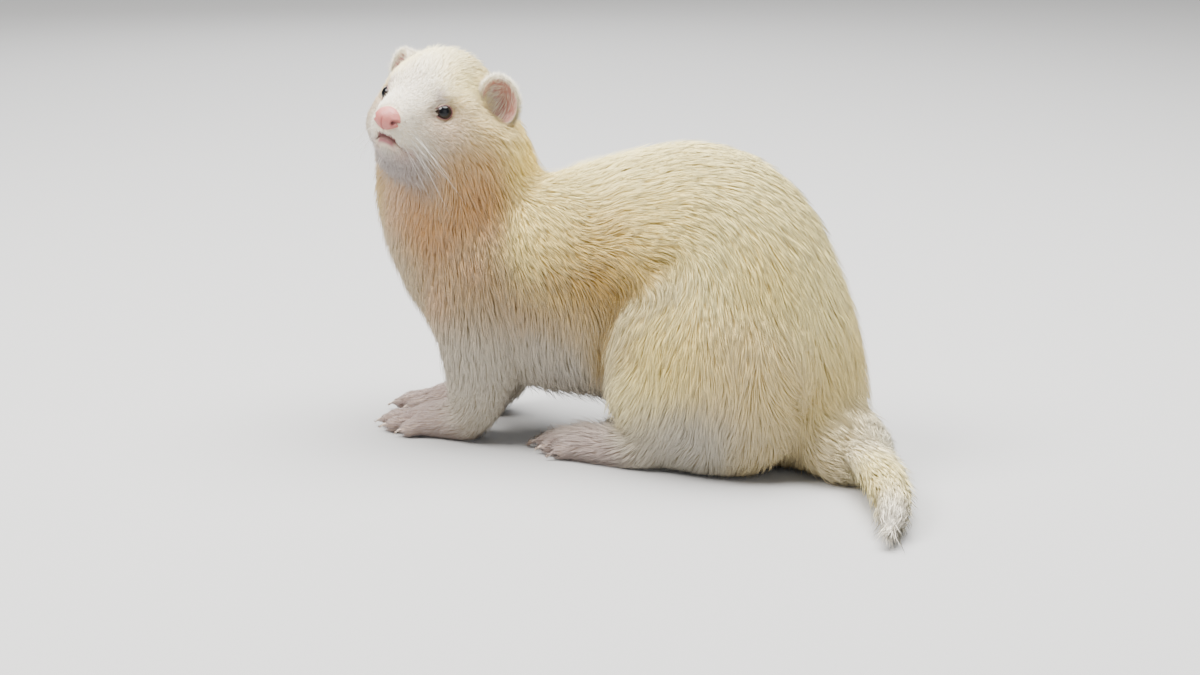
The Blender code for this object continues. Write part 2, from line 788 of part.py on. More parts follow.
def part_body(whole):
    """Cuts the blended body into its named pieces."""
    for side, sign in (("left", 1), ("right", -1)):
        low, high = on_side(FOREPAW_BLOCK, sign, RIGHT_FORE_SHIFT)
        split_by_block(whole, f"forepaw_{side}", PINK_SKIN, low, high)
        low, high = on_side(HIND_FOOT_BLOCK, sign, RIGHT_ANKLE_SHIFT)
        split_by_block(whole, f"hind_foot_{side}", PINK_SKIN, low, high)
        centre, radii = SHOULDER_CUT
        shift = (0.0, 0.0) if sign > 0 else RIGHT_FORE_SHIFT
        place = (sign * centre[0] + shift[0], centre[1] + shift[1], centre[2])
        split_by_ball(whole, f"foreleg_{side}", CREAM_COAT, place, radii)
        centre, radii = HAUNCH_CUT
        split_by_ball(whole, f"thigh_{side}", CREAM_COAT, (sign * centre[0], *centre[1:]), radii)
    neck_piece = split_by_plane(whole, "neck", CREAM_COAT, plane_frame(*NECK_CUT), NECK_CUT_SIZE)
    skull = split_by_plane(neck_piece, "head", WHITE_COAT, plane_frame(*HEAD_CUT), HEAD_CUT_SIZE)
    behind = block_beyond("behind", tail_face(ROOT_STEPS, 0.0), TAIL_CUT_SIZE)
    boolean(whole, behind, "DIFFERENCE")
    keep_largest(whole)
    remove(behind)
    whole.name = "torso"
    to_collection(whole, ferret)
    give_finish(whole, CREAM_COAT)
    return skull


def joined_by_union(target, pieces):
    """Fuses closed pieces with a node in one Boolean union, and keeps the largest surface."""
    group = bpy.data.collections.new("union")
    bpy.context.scene.collection.children.link(group)
    for piece in pieces:
        to_collection(piece, group)
    step = target.modifiers.new("union", "BOOLEAN")
    step.operation = "UNION"
    step.operand_type = "COLLECTION"
    step.collection = group
    apply_all(target)
    for piece in pieces:
        remove(piece)
    bpy.data.collections.remove(group)
    keep_largest(target)


CLAW_LENGTH = 0.0046
CLAW_RADIUS = 0.0009
# How far past the toe's tip, how high and how thick the claw is from its root to its point
CLAW_CURVE = ((-0.5, 0.0030, 1.0), (0.1, 0.0034, 0.95), (0.6, 0.0027, 0.65), (1.0, 0.0012, 0.15))


def claw(knuckle, tip):
    """A small curved claw at the end of a toe."""
    ahead = np.array(tip) - np.array(knuckle)
    ahead /= np.linalg.norm(ahead)
    spot = np.array(tip)
    path = []
    for reach, height, size in CLAW_CURVE:
        x, y = spot + reach * CLAW_LENGTH * ahead
        path.append((x, y, height, size * CLAW_RADIUS, size * CLAW_RADIUS))
    return limb("claw", path, sides=6, steps=1)


def add_claws():
    """Five claws on each foot, fused with it."""
    plans = (("forepaw", FORE_TOES, RIGHT_FORE_SHIFT), ("hind_foot", HIND_TOES, RIGHT_HIND_SHIFT))
    for side, sign in (("left", 1), ("right", -1)):
        for part_name, plan, shift in plans:
            claws = []
            for knuckle, tip in plan:
                root = toe_place(knuckle, sign, shift)
                claws.append(claw(root, toe_place(tip, sign, shift)))
            joined_by_union(bpy.data.objects[f"{part_name}_{side}"], claws)


def facing(place, axis, height):
    """A frame at a place on the head, its third axis outward and its second near the height's."""
    outward = Vector(axis).normalized()
    across = Vector(height).cross(outward).normalized()
    rise = outward.cross(across)
    axes = Matrix((across, rise, outward)).transposed().to_4x4()
    return HEAD @ Matrix.Translation(place) @ axes


def mirrored_place(place, sign):
    """A place or a direction on the head's left side, or its twin on the right."""
    return Vector((place[0], sign * place[1], place[2]))


def add_eyes(skull):
    """Round eyes, set so deep that the rims of the lids cover all but their front."""
    deep = math.sqrt(EYE_RADIUS**2 - EYE_OPENING**2)
    for side, sign in (("left", 1), ("right", -1)):
        spot = mirrored_place(EYE_SPOT - EYE_AXIS * deep, sign)
        frame = facing(spot, mirrored_place(EYE_AXIS, sign), UPRIGHT)
        socket = ellipsoid("socket", (0, 0, 0), [EYE_RADIUS + GAP] * 3, frame, 14, 8)
        boolean(skull, socket, "DIFFERENCE")
        remove(socket)
        eye = ellipsoid(f"eye_{side}", (0, 0, 0), [EYE_RADIUS] * 3, frame, 14, 8)
        to_collection(eye, ferret)
        eye.data.materials.append(DARK_EYE)
    keep_largest(skull)


def add_nose(skull):
    """The bare nose: a rounded pad with a groove down its middle and two nostrils."""
    seat = ellipsoid("seat", NOSE_CENTRE, [radius + GAP for radius in NOSE_RADII], HEAD, 18, 12)
    boolean(skull, seat, "DIFFERENCE")
    remove(seat)
    keep_largest(skull)
    nose = ellipsoid("nose", NOSE_CENTRE, NOSE_RADII, HEAD, 16, 10)
    cuts = [ellipsoid("groove", NOSE_GROOVE[0], NOSE_GROOVE[1], HEAD, 8, 6)]
    for sign in (1, -1):
        outward = mirrored_place(NOSTRIL_AXIS, sign)
        frame = facing(mirrored_place(NOSTRIL_PLACE, sign), outward, UPRIGHT)
        cuts.append(ellipsoid("nostril", (0, 0, 0), NOSTRIL_RADII, frame, 8, 6))
    for cut in cuts:
        boolean(nose, cut, "DIFFERENCE")
        remove(cut)
    keep_largest(nose)
    to_collection(nose, ferret)
    give_finish(nose, PINK_SKIN)


# The ears: round cups that stand out behind the cheeks
EAR_PLACE = (-0.0237, 0.0268, 0.0064)
EAR_AXIS = (0.75, 0.63, 0.20)
EAR_HEIGHT = (0.10, -0.42, 0.90)
EAR_OUTER = (0.0093, 0.0120, 0.0074)
EAR_WALL = 0.0013
HOLLOW_STEP = 0.0004
CUP_FRONT_SIZE = 0.06


def ear_cup(name, frame, radii):
    """The hollow side of an ear: the half of a stretched ball behind its rim."""
    cup = ellipsoid(name, (0, 0, 0), radii, frame, 20, 10)
    front = block_beyond("front", frame, CUP_FRONT_SIZE)
    boolean(cup, front, "DIFFERENCE")
    remove(front)
    return cup


def add_ears(skull):
    """Each ear is a cup with a thick rim, sunk into the side of the head."""
    inner = [radius - EAR_WALL for radius in EAR_OUTER]
    for side, sign in (("left", 1), ("right", -1)):
        outward = mirrored_place(EAR_AXIS, sign)
        frame = facing(mirrored_place(EAR_PLACE, sign), outward, mirrored_place(EAR_HEIGHT, sign))
        seat = ear_cup("seat", frame, [radius + GAP for radius in EAR_OUTER])
        mouth = ellipsoid("mouth", (0, 0, 0), inner, frame, 16, 8)
        for cut in (seat, mouth):
            boolean(skull, cut, "DIFFERENCE")
            remove(cut)
        ear = ear_cup(f"ear_{side}", frame, EAR_OUTER)
        hollow = ellipsoid("hollow", (0, 0, HOLLOW_STEP), inner, frame, 18, 10)
        boolean(ear, hollow, "DIFFERENCE")
        remove(hollow)
        keep_largest(ear)
        to_collection(ear, ferret)
        give_finish(ear, WHITE_COAT)
    keep_largest(skull)


# The brush: rows of flat locks, each row with its place along the tail and its number of locks
LOCK_ROWS = (
    (0.0260, 8),
    (0.0375, 7),
    (0.0500, 7),
    (0.0620, 6),
    (0.0740, 6),
    (0.0845, 5),
    (0.0930, 4),
)
LOCK_LENGTH = 0.037
LOCK_THICKNESS = 0.0024
LOCK_CROWDING = 0.80
LOCK_SWAY = 0.08
LOCK_SHIFT = 0.0015
CORE_SHARE = 0.5
# How wide, thick and far out from the core a lock is along its length, and its place along it
LOCK_PROFILE = (
    (0.0, 0.55, 1.10, 0.28),
    (0.3, 1.00, 1.00, 0.70),
    (0.65, 0.84, 0.80, 0.93),
    (1.0, 0.10, 0.30, 1.02),
)


def along_tail(distance):
    """The middle of the tail at a distance from its root, its heading and the brush's radius."""
    places = np.arange(TAIL_STEPS + 1) * TAIL_LENGTH / TAIL_STEPS
    inside = min(distance, TAIL_LENGTH)
    spot = np.array([np.interp(inside, places, TAIL_PATH[:, axis]) for axis in range(3)])
    step = min(int(inside / TAIL_LENGTH * TAIL_STEPS), TAIL_STEPS - 1)
    heading = TAIL_PATH[step + 1, :3] - TAIL_PATH[step, :3]
    heading[2] = 0.0
    heading /= np.linalg.norm(heading)
    spot = spot + heading * (distance - inside)
    return spot, heading, np.interp(inside, places, TAIL_PATH[:, 3])


def tail_lock(root, angle, length, width):
    """A flat, tapered lock that leaves the core and bends back along the tail."""
    rings = []
    for share, broad, thick, out in LOCK_PROFILE:
        spot, heading, radius = along_tail(root + share * length)
        across = np.cross(heading, (0.0, 0.0, 1.0))
        outward = across * math.cos(angle) + np.array((0.0, 0.0, 1.0)) * math.sin(angle)
        beside = np.cross(heading, outward)
        middle = spot + out * radius * outward
        middle[2] = max(middle[2], 0.25 * LOCK_THICKNESS)
        half_width = 0.5 * broad * width
        half_thickness = 0.5 * thick * LOCK_THICKNESS
        edges = middle - half_thickness * outward
        ridge = middle + half_thickness * outward
        rings.append((edges + half_width * beside, ridge, edges - half_width * beside))
    return loft("lock", rings)


def tail_locks():
    """All the locks of the brush, each a little unlike the next."""
    chance = random.Random(11)
    locks = []
    for row, (root, count) in enumerate(LOCK_ROWS):
        radius = along_tail(root + 0.4 * LOCK_LENGTH)[2]
        width = 2 * math.pi * LOCK_CROWDING * radius / count
        for number in range(count):
            angle = 2 * math.pi * (number + 0.5 * (row % 2)) / count
            angle += chance.uniform(-LOCK_SWAY, LOCK_SWAY)
            length = min(LOCK_LENGTH * chance.uniform(0.9, 1.1), TAIL_LENGTH - root)
            start = root + chance.uniform(-LOCK_SHIFT, LOCK_SHIFT)
            locks.append(tail_lock(start, angle, length, width))
    return locks


def add_tail():
    """The tail: a slim core with the long locks of its brush, on the floor."""
    rows = []
    start = tail_face(ROOT_STEPS, -10 * GAP).translation
    rows.append((*start, TAIL_PATH[ROOT_STEPS, 3], TAIL_PATH[ROOT_STEPS, 3]))
    for step, (x, y, z, radius) in enumerate(TAIL_PATH[ROOT_STEPS + 1 : -2]):
        slim = radius * max(CORE_SHARE, 0.98 - 0.09 * step)
        rows.append((x, y, z, slim, slim))
    tail = limb("tail", rows, sides=12, steps=1)
    towards_rump = tail_face(ROOT_STEPS, GAP) @ Matrix.Rotation(math.pi, 4, "X")
    near = block_beyond("near", towards_rump, 0.05)
    joined_by_union(tail, tail_locks())
    boolean(tail, near, "DIFFERENCE")
    remove(near)
    ground(tail)
    to_collection(tail, ferret)
    give_finish(tail, CREAM_COAT)


SHARP_ANGLE = 50.0


def centre_on_floor():
    """Hangs every piece on one empty, which puts the middle of the whole at the origin."""
    points = np.vstack([points_of(node) for node in ferret.objects])
    middle = (points.min(axis=0) + points.max(axis=0)) / 2
    root = bpy.data.objects.new("ferret_root", None)
    root.location = (-middle[0], -middle[1], -points[:, 2].min())
    pieces = list(ferret.objects)
    ferret.objects.link(root)
    for node in pieces:
        node.parent = root
        node.data.shade_smooth()
        node.data.set_sharp_from_angle(angle=math.radians(SHARP_ANGLE))


body = blended_body()
finer_face(body)
carve_face(body)
coarsened(body, BODY_TRIANGLES)
ground(body)
head_node = part_body(body)
add_eyes(head_node)
add_nose(head_node)
add_ears(head_node)
add_claws()
add_tail()
centre_on_floor()
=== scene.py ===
"""A ferret as a still, life-size model: its skin, coat, eyes, nose, ears, claws and whiskers."""

import math

import bmesh
import bpy
import numpy as np
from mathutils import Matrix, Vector
from mathutils.kdtree import KDTree


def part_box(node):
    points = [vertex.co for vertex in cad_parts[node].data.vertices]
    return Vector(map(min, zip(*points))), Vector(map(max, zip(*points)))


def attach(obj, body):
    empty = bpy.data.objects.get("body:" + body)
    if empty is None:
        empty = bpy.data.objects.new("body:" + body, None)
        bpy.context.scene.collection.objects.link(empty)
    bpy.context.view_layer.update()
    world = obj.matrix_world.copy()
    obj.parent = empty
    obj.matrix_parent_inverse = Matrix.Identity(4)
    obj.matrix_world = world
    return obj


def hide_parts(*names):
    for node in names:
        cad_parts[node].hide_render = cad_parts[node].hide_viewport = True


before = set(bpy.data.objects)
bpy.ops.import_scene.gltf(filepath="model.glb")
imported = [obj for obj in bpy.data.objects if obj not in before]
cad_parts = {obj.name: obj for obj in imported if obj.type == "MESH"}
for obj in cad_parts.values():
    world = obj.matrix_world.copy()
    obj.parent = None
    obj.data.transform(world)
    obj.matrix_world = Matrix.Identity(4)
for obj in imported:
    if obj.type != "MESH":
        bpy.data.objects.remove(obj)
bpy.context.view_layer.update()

# The two sets of axes that the pieces are placed on.
# The body's own: it faces -Y, its left is +X, the shoulders are near X = Y = 0, in millimetres.
# The head's own: forward, left and up from the point between the eyes, found from the two eye solids.
MM = 0.001
HEAD_TURN = math.radians(79.0)
HEAD_PITCH = math.radians(6.3)
HEAD_ROLL = math.radians(10.7)
EYES_PLACE = np.array((24.0, -73.8, 153.3)) * MM
EYEBALL_CENTRE = np.array((-0.898, 14.332, -0.159)) * MM

forward = Vector(
    (
        math.sin(HEAD_TURN) * math.cos(HEAD_PITCH),
        -math.cos(HEAD_TURN) * math.cos(HEAD_PITCH),
        math.sin(HEAD_PITCH),
    )
)
level_left = Vector((0, 0, 1)).cross(forward).normalized()
level_up = forward.cross(level_left)
head_left = level_left * math.cos(HEAD_ROLL) - level_up * math.sin(HEAD_ROLL)
HEAD_AXES = np.array((forward, head_left, forward.cross(head_left)))
eye_centres = [np.mean(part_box(f"eye_{side}"), axis=0) for side in ("left", "right")]
between = EYEBALL_CENTRE * (1, 0, 1)
HEAD_ORIGIN = np.mean(eye_centres, axis=0) - between @ HEAD_AXES
BODY_ORIGIN = HEAD_ORIGIN - EYES_PLACE


def from_head(places):
    """Places on the head's axes, in the frame's."""
    return np.asarray(places) @ HEAD_AXES + HEAD_ORIGIN


def to_head(points):
    return (points - HEAD_ORIGIN) @ HEAD_AXES.T


def from_body(places):
    """Places in millimetres on the body's axes, in the frame's."""
    return np.asarray(places) * MM + BODY_ORIGIN


def to_body(points):
    return (points - BODY_ORIGIN) / MM


# The stand and the studio: a pale floor, soft lights, and the camera at the photograph's angle, a
# little above the animal and behind its left side. None of these is part of the model.
CAMERA_PLACE = (1069.33, 392.30, 352.95)
CAMERA_TURN = math.radians(110.0)
CAMERA_RISE = math.radians(15.0)
LENS = 79.2

camera = bpy.data.objects.new("camera", bpy.data.cameras.new("camera"))
bpy.context.scene.collection.objects.link(camera)
camera.data.sensor_width = 36.0
camera.data.lens = LENS
camera.data.clip_start = 0.01
camera.location = from_body(CAMERA_PLACE)
camera.rotation_euler = (math.pi / 2 - CAMERA_RISE, 0.0, CAMERA_TURN)
bpy.context.scene.camera = camera

FLOOR_SIZE = 40.0
FLOOR_COLOUR = (0.42, 0.42, 0.42)
bpy.ops.object.select_all(action="DESELECT")
bpy.ops.mesh.primitive_plane_add(size=FLOOR_SIZE, location=(0, 0, 0))
floor = bpy.context.object
floor.name = "floor"
floor_finish = bpy.data.materials.new("floor_paper")
floor_finish.use_nodes = True
floor_shader = floor_finish.node_tree.nodes["Principled BSDF"]
floor_shader.inputs["Base Color"].default_value = (*FLOOR_COLOUR, 1.0)
floor_shader.inputs["Roughness"].default_value = 0.9
floor.data.materials.append(floor_finish)

# Each light: place on the body's axes, size in metres, power in watts, colour
LIGHTS = (
    ("key", (600, -750, 1300), 0.8, 48.0, (1.0, 0.97, 0.93)),
    ("fill", (1000, 800, 500), 1.2, 5.0, (0.96, 0.98, 1.0)),
    ("top", (-150, 150, 1300), 1.2, 76.0, (1.0, 0.99, 0.97)),
    ("far", (-900, -500, 700), 1.2, 8.0, (0.97, 0.98, 1.0)),
)
AIM = from_body((20, 10, 80))
for name, place, size, power, colour in LIGHTS:
    lamp = bpy.data.lights.new(name, "AREA")
    lamp.shape = "DISK"
    lamp.size = size
    lamp.energy = power
    lamp.color = colour
    holder = bpy.data.objects.new(name, lamp)
    holder.location = from_body(place)
    holder.rotation_euler = (Vector(AIM) - holder.location).to_track_quat("-Z", "Y").to_euler()
    bpy.context.scene.collection.objects.link(holder)

world = bpy.data.worlds.new("studio")
world.use_nodes = True
world.node_tree.nodes["Background"].inputs["Color"].default_value = (0.86, 0.87, 0.90, 1.0)
world.node_tree.nodes["Background"].inputs["Strength"].default_value = 0.32
bpy.context.scene.world = world

# The skin: soft hide over the whole body, which the coat grows from.
# One closed skin takes the place of all the solids of flesh. It lies under them by the depth of the
# coat, bare on the lips, lids and soles, and the face has its lids, lip line and folds pressed in.
FLESH = (
    "torso", "neck", "head", "foreleg_left", "foreleg_right", "forepaw_left", "forepaw_right",
    "thigh_left", "thigh_right", "hind_foot_left", "hind_foot_right",
)
SEAM_GROWTH = 0.28 * MM
SKIN_VOXEL = 1.0 * MM
COARSER = 0.20
EYEBALL_RADIUS = 4.1 * MM
EYE_AXIS = np.array((0.74, 0.64, 0.20)) / np.linalg.norm((0.74, 0.64, 0.20))
EAR_PLACES = {1: np.array((-23.4, 27.1, 6.9)) * MM, -1: np.array((-24.4, -25.4, 4.8)) * MM}
EAR_AXIS = (0.75, 0.63, 0.20)
EAR_HEIGHT = (0.10, -0.42, 0.90)
EAR_RADII = np.array((8.2, 11.3, 7.4)) * MM


def mirrored(place, side):
    """A place or direction on the head, on its left for side 1 and its right for side -1."""
    return np.array((place[0], side * place[1], place[2]))


def facing(axis, height):
    """Three axes as rows: across, near the height's direction, and outward along the axis."""
    outward = np.array(axis) / np.linalg.norm(axis)
    across = np.cross(height, outward)
    across /= np.linalg.norm(across)
    return np.array((across, np.cross(outward, across), outward))


def smooth_step(value, low, high):
    share = np.clip((value - low) / (high - low), 0.0, 1.0)
    return share * share * (3.0 - 2.0 * share)


def hill(distance, width):
    """One at no distance, falling smoothly to nothing past the width."""
    return np.exp(-((distance / width) ** 2))


def ball(name, centre, radii, axes, segments, rings):
    """A closed ball, stretched along three axes of its own, in the frame's axes."""
    bpy.ops.object.select_all(action="DESELECT")
    bpy.ops.mesh.primitive_uv_sphere_add(segments=segments, ring_count=rings, radius=1.0)
    made = bpy.context.object
    made.name = name
    points = points_of(made.data)
    set_points(made.data, (points * radii) @ axes + centre)
    if np.linalg.det(axes) < 0:
        made.data.flip_normals()
    return made


def points_of(mesh):
    points = np.empty(len(mesh.vertices) * 3)
    mesh.vertices.foreach_get("co", points)
    return points.reshape(-1, 3)


def normals_of(mesh):
    normals = np.empty(len(mesh.vertices) * 3)
    mesh.vertices.foreach_get("normal", normals)
    return normals.reshape(-1, 3)


def set_points(mesh, points):
    mesh.vertices.foreach_set("co", np.ascontiguousarray(points, float).ravel())
    mesh.update()


def applied(piece, kind, **settings):
    """Adds one modifier and makes its result the piece's mesh."""
    bpy.ops.object.select_all(action="DESELECT")
    piece.select_set(True)
    bpy.context.view_layer.objects.active = piece
    modifier = piece.modifiers.new(kind.lower(), kind)
    for name, value in settings.items():
        setattr(modifier, name, value)
    bpy.ops.object.modifier_apply(modifier=modifier.name)


def joined(pieces, name):
    """One object of several."""
    bpy.ops.object.select_all(action="DESELECT")
    for piece in pieces:
        piece.select_set(True)
    bpy.context.view_layer.objects.active = pieces[0]
    bpy.ops.object.join()
    made = bpy.context.object
    made.name = name
    return made


def faces_outward(mesh):
    """Makes all the faces of a closed mesh point outwards."""
    shape = bmesh.new()
    shape.from_mesh(mesh)
    bmesh.ops.recalc_face_normals(shape, faces=shape.faces)
    shape.to_mesh(mesh)
    shape.free()


def grown_copy(node):
    """A node's solid with its doubles merged, grown a little so that it meets its neighbours."""
    made = bpy.data.objects.new(f"copy_{node}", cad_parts[node].data.copy())
    bpy.context.scene.collection.objects.link(made)
    made.data.materials.clear()
    shape = bmesh.new()
    shape.from_mesh(made.data)
    bmesh.ops.remove_doubles(shape, verts=shape.verts, dist=0.00002)
    shape.to_mesh(made.data)
    shape.free()
    made.data.update()
    set_points(made.data, points_of(made.data) + SEAM_GROWTH * normals_of(made.data))
    return made


fillers = []
for side in (1, -1):
    centre = from_head(mirrored(EYEBALL_CENTRE, side))
    fillers.append(ball("eye_filler", centre, [EYEBALL_RADIUS * 1.12] * 3, np.eye(3), 24, 16))
    ear_axes = facing(mirrored(EAR_AXIS, side), mirrored(EAR_HEIGHT, side)) @ HEAD_AXES
    place = from_head(EAR_PLACES[side]) - 5.0 * MM * ear_axes[2]
    fillers.append(ball("ear_filler", place, EAR_RADII * (1.28, 1.12, 0.62), ear_axes, 24, 16))
NOSE_CENTRE = np.array((18.6, 0.0, -6.2)) * MM
NOSE_RADII = np.array((5.2, 6.1, 5.2)) * MM
fillers.append(ball("nose_filler", from_head(NOSE_CENTRE), NOSE_RADII * 0.92, HEAD_AXES, 24, 16))

# The tail's slim body lies on the floor and curves to the animal's left, inside its brush of hair.
# Sizes in metres: where it starts, its headings, its length and the brush's radius along it.
TAIL_ROOT = np.array((0.005, 0.104))
TAIL_HEADINGS = (math.radians(22.0), math.radians(88.0))
TAIL_LENGTH = 0.118
TAIL_RADIUS = 0.0180
TAIL_RADII = ((0.0, 1.0), (0.14, 0.97), (0.32, 0.84), (0.58, 0.68), (0.80, 0.50), (0.93, 0.28), (1.0, 0.06))
TAIL_STEPS = 24

spots = [TAIL_ROOT]
for step in range(TAIL_STEPS):
    heading = TAIL_HEADINGS[0] + (TAIL_HEADINGS[1] - TAIL_HEADINGS[0]) * (step / TAIL_STEPS) ** 0.7
    ahead = np.array((math.sin(heading), math.cos(heading)))
    spots.append(spots[-1] + TAIL_LENGTH / TAIL_STEPS * ahead)
TAIL_SPOTS = np.array(spots)
TAIL_HEADS = np.gradient(TAIL_SPOTS, axis=0)
TAIL_HEADS /= np.linalg.norm(TAIL_HEADS, axis=1)[:, None]


def on_tail(share, angle, out):
    """Places round the tail: share of its length, angle round it, and share of the brush's radius."""
    steps = np.arange(TAIL_STEPS + 1) / TAIL_STEPS
    inside = np.clip(share, 0.0, 1.0)
    flat = np.stack([np.interp(inside, steps, TAIL_SPOTS[:, axis]) for axis in (0, 1)], axis=-1)
    ahead = np.stack([np.interp(inside, steps, TAIL_HEADS[:, axis]) for axis in (0, 1)], axis=-1)
    flat = flat + ahead * (np.asarray(share) - inside)[..., None] * TAIL_LENGTH
    radius = TAIL_RADIUS * np.interp(inside, *np.array(TAIL_RADII).T)
    across = radius * out * np.cos(angle)
    place = np.empty((*np.shape(inside), 3))
    place[..., 0] = flat[..., 0] + across * ahead[..., 1]
    place[..., 1] = flat[..., 1] - across * ahead[..., 0]
    place[..., 2] = 0.90 * radius + radius * out * np.sin(angle)
    return place + BODY_ORIGIN


CORE_STEPS = 44
CORE_SIDES = 24
CORE_END = 0.90
core_turns = np.linspace(0, 2 * math.pi, CORE_SIDES, endpoint=False)
along, around = np.meshgrid(np.linspace(0.0, CORE_END, CORE_STEPS), core_turns, indexing="ij")
core_points = on_tail(along, around, 0.50 + 0.05 * (1 - along)).reshape(-1, 3)
core_faces = [tuple(range(CORE_SIDES)), tuple(CORE_STEPS * CORE_SIDES - 1 - np.arange(CORE_SIDES))]
for step in range(CORE_STEPS - 1):
    for number in range(CORE_SIDES):
        beside = (number + 1) % CORE_SIDES
        low, high = step * CORE_SIDES, (step + 1) * CORE_SIDES
        core_faces.append((low + number, high + number, high + beside, low + beside))
core = bpy.data.objects.new("tail_core", bpy.data.meshes.new("tail_core"))
core.data.from_pydata(core_points.tolist(), [], core_faces)
faces_outward(core.data)
bpy.context.scene.collection.objects.link(core)
fillers.append(core)

skin = joined([grown_copy(node) for node in FLESH] + fillers, "skin")
applied(skin, "REMESH", mode="VOXEL", voxel_size=SKIN_VOXEL)


def edges_of(mesh):
    edges = np.empty(len(mesh.edges) * 2, np.int32)
    mesh.edges.foreach_get("vertices", edges)
    return edges.reshape(-1, 2)


def relaxed(points, edges, weight, times):
    """Points drawn towards the middle of their neighbours, by a weight for each."""
    count = np.bincount(edges.ravel(), minlength=len(points))
    for _ in range(times):
        middle = np.empty_like(points)
        for axis in range(3):
            ends = points[edges, axis]
            total = np.bincount(edges[:, 0], ends[:, 1], len(points))
            total += np.bincount(edges[:, 1], ends[:, 0], len(points))
            middle[:, axis] = total / count
        points = points + weight[:, None] * (middle - points)
    return points


# How deep the coat is over the skin, in millimetres: place on the body's axes, reach, depth
COAT_DEPTHS = (
    ((0, -50, 100), 34, 1.7),
    ((0, 20, 110), 40, 1.6),
    ((0, 80, 110), 40, 1.6),
    ((30, 70, 50), 40, 1.8),
    ((-30, 70, 50), 40, 1.8),
    ((0, 120, 40), 26, 2.2),
    ((8, 122, 20), 12, 2.6),
    ((24, 138, 18), 12, 1.2),
    ((60, 158, 12), 22, 0.8),
    ((90, 164, 8), 16, 0.4),
    ((0, 10, 40), 34, 2.2),
    ((0, -90, 70), 24, 1.9),
    ((25, -45, 45), 18, 2.2),
    ((-33, -50, 45), 18, 2.2),
    ((25, -48, 20), 12, 1.5),
    ((-33, -53, 20), 12, 1.5),
    ((15, -75, 5), 18, 0.6),
    ((-24, -80, 5), 18, 0.6),
    ((25, 0, 5), 16, 0.7),
    ((-25, 22, 5), 16, 0.7),
)
HEAD_DEPTHS = (
    ((-18, 0, 18), 16, 1.4),
    ((-36, 0, 0), 16, 1.9),
    ((-22, 20, -14), 13, 1.7),
    ((-22, -20, -14), 13, 1.7),
    ((0, 14, 2), 9, 1.0),
    ((0, -14, 2), 9, 1.0),
    ((12, 0, -6), 13, 0.7),
    ((8, 0, -24), 12, 0.9),
    ((-14, 0, -34), 14, 2.0),
)


def nearness(points, place, reach):
    """How near each point is to a place: it falls off past the reach, but never to nothing."""
    away = np.linalg.norm(points - place, axis=1) / (reach * MM)
    return np.exp(-np.minimum(away, 12.0) ** 2) + 1e-9 / (1 + away**4)


def blended(points, rows, head_rows):
    """Each point's value, blended from rows of place, reach and value."""
    total = np.zeros(len(points))
    value = np.zeros(len(points))
    placed = [(from_body(place), reach, level) for place, reach, level in rows]
    placed += [(from_head(np.array(place) * MM), reach, level) for place, reach, level in head_rows]
    for place, reach, level in placed:
        weight = nearness(points, place, reach)
        total += weight
        value += weight * level
    return value / total


points = points_of(skin.data)
edges = edges_of(skin.data)
local = to_head(points) / MM
face = smooth_step(local[:, 0], -12, 0) * smooth_step(-np.linalg.norm(local, axis=1), -44, -36)
body = to_body(points)
feet = smooth_step(-body[:, 2], -20, -12) * (body[:, 1] < 30) * (np.abs(body[:, 0]) < 46)
evenness = 0.5 * (1.0 - np.maximum(0.75 * face, 0.8 * feet))
points = relaxed(points, edges, evenness, 14)
# the far side of the neck runs smoothly into the shoulder
NAPE_FOLD = (-28.0, -52.0, 110.0)
fold = hill(np.linalg.norm(body - NAPE_FOLD, axis=1), 25.0)
points = relaxed(points, edges, 0.9 * fold * (fold > 0.05), 60)
depth = blended(points, COAT_DEPTHS, HEAD_DEPTHS) * MM
STEPS = 6
for _ in range(STEPS):
    set_points(skin.data, points)
    inward = -normals_of(skin.data)
    low = smooth_step(points[:, 2] / MM, 0.4, 2.0) * feet + (1.0 - feet)
    points = points + (depth / STEPS * low)[:, None] * inward
    points = relaxed(points, edges, 0.8 * evenness, 3)

# The haunch stands out from the flank. Its front edge runs down from the loin to the knee, in
# millimetres along and up the body's axes, and the flank sinks in before it.
HAUNCH_EDGE = np.array(
    ((58.0, 95.0), (46.0, 92.0), (37.6, 87.3), (31.3, 82.0), (26.5, 74.7),
     (23.0, 66.7), (19.9, 59.2), (18.0, 51.5), (17.5, 42.0), (18.5, 32.0))
)


def beyond(places, line):
    """How far each flat place lies from a line of points: less than nothing on its near side."""
    least = np.full(len(places), np.inf)
    far = np.zeros(len(places))
    for start, end in zip(line[:-1], line[1:]):
        way = end - start
        share = np.clip((places - start) @ way / (way @ way), 0.0, 1.0)
        off = places - start - share[:, None] * way
        distance = np.linalg.norm(off, axis=1)
        turn = way[0] * (places[:, 1] - start[1]) - way[1] * (places[:, 0] - start[0])
        nearer = distance < least
        least = np.where(nearer, distance, least)
        far = np.where(nearer, distance * np.sign(turn), far)
    return far


# The toes, for the left feet: each toe's knuckle and tip on the body's axes in millimetres. The
# right feet are mirrored and then moved.
FORE_TOES = (
    ((8.0, -76.0), (2.0, -90.0)), ((10.0, -80.0), (6.0, -98.5)), ((14.0, -81.0), (13.5, -98.5)),
    ((18.5, -79.0), (20.5, -93.0)), ((22.0, -73.0), (26.5, -83.0)),
)
HIND_TOES = (
    ((16.5, 2.0), (10.0, -10.5)), ((18.0, -3.0), (13.5, -19.0)), ((22.0, -4.5), (21.0, -19.5)),
    ((26.0, -3.0), (28.5, -14.0)), ((30.0, 2.0), (34.5, -5.5)),
)
RIGHT_SHIFT = {"fore": (-8.0, -5.5), "hind": (0.0, 22.0)}


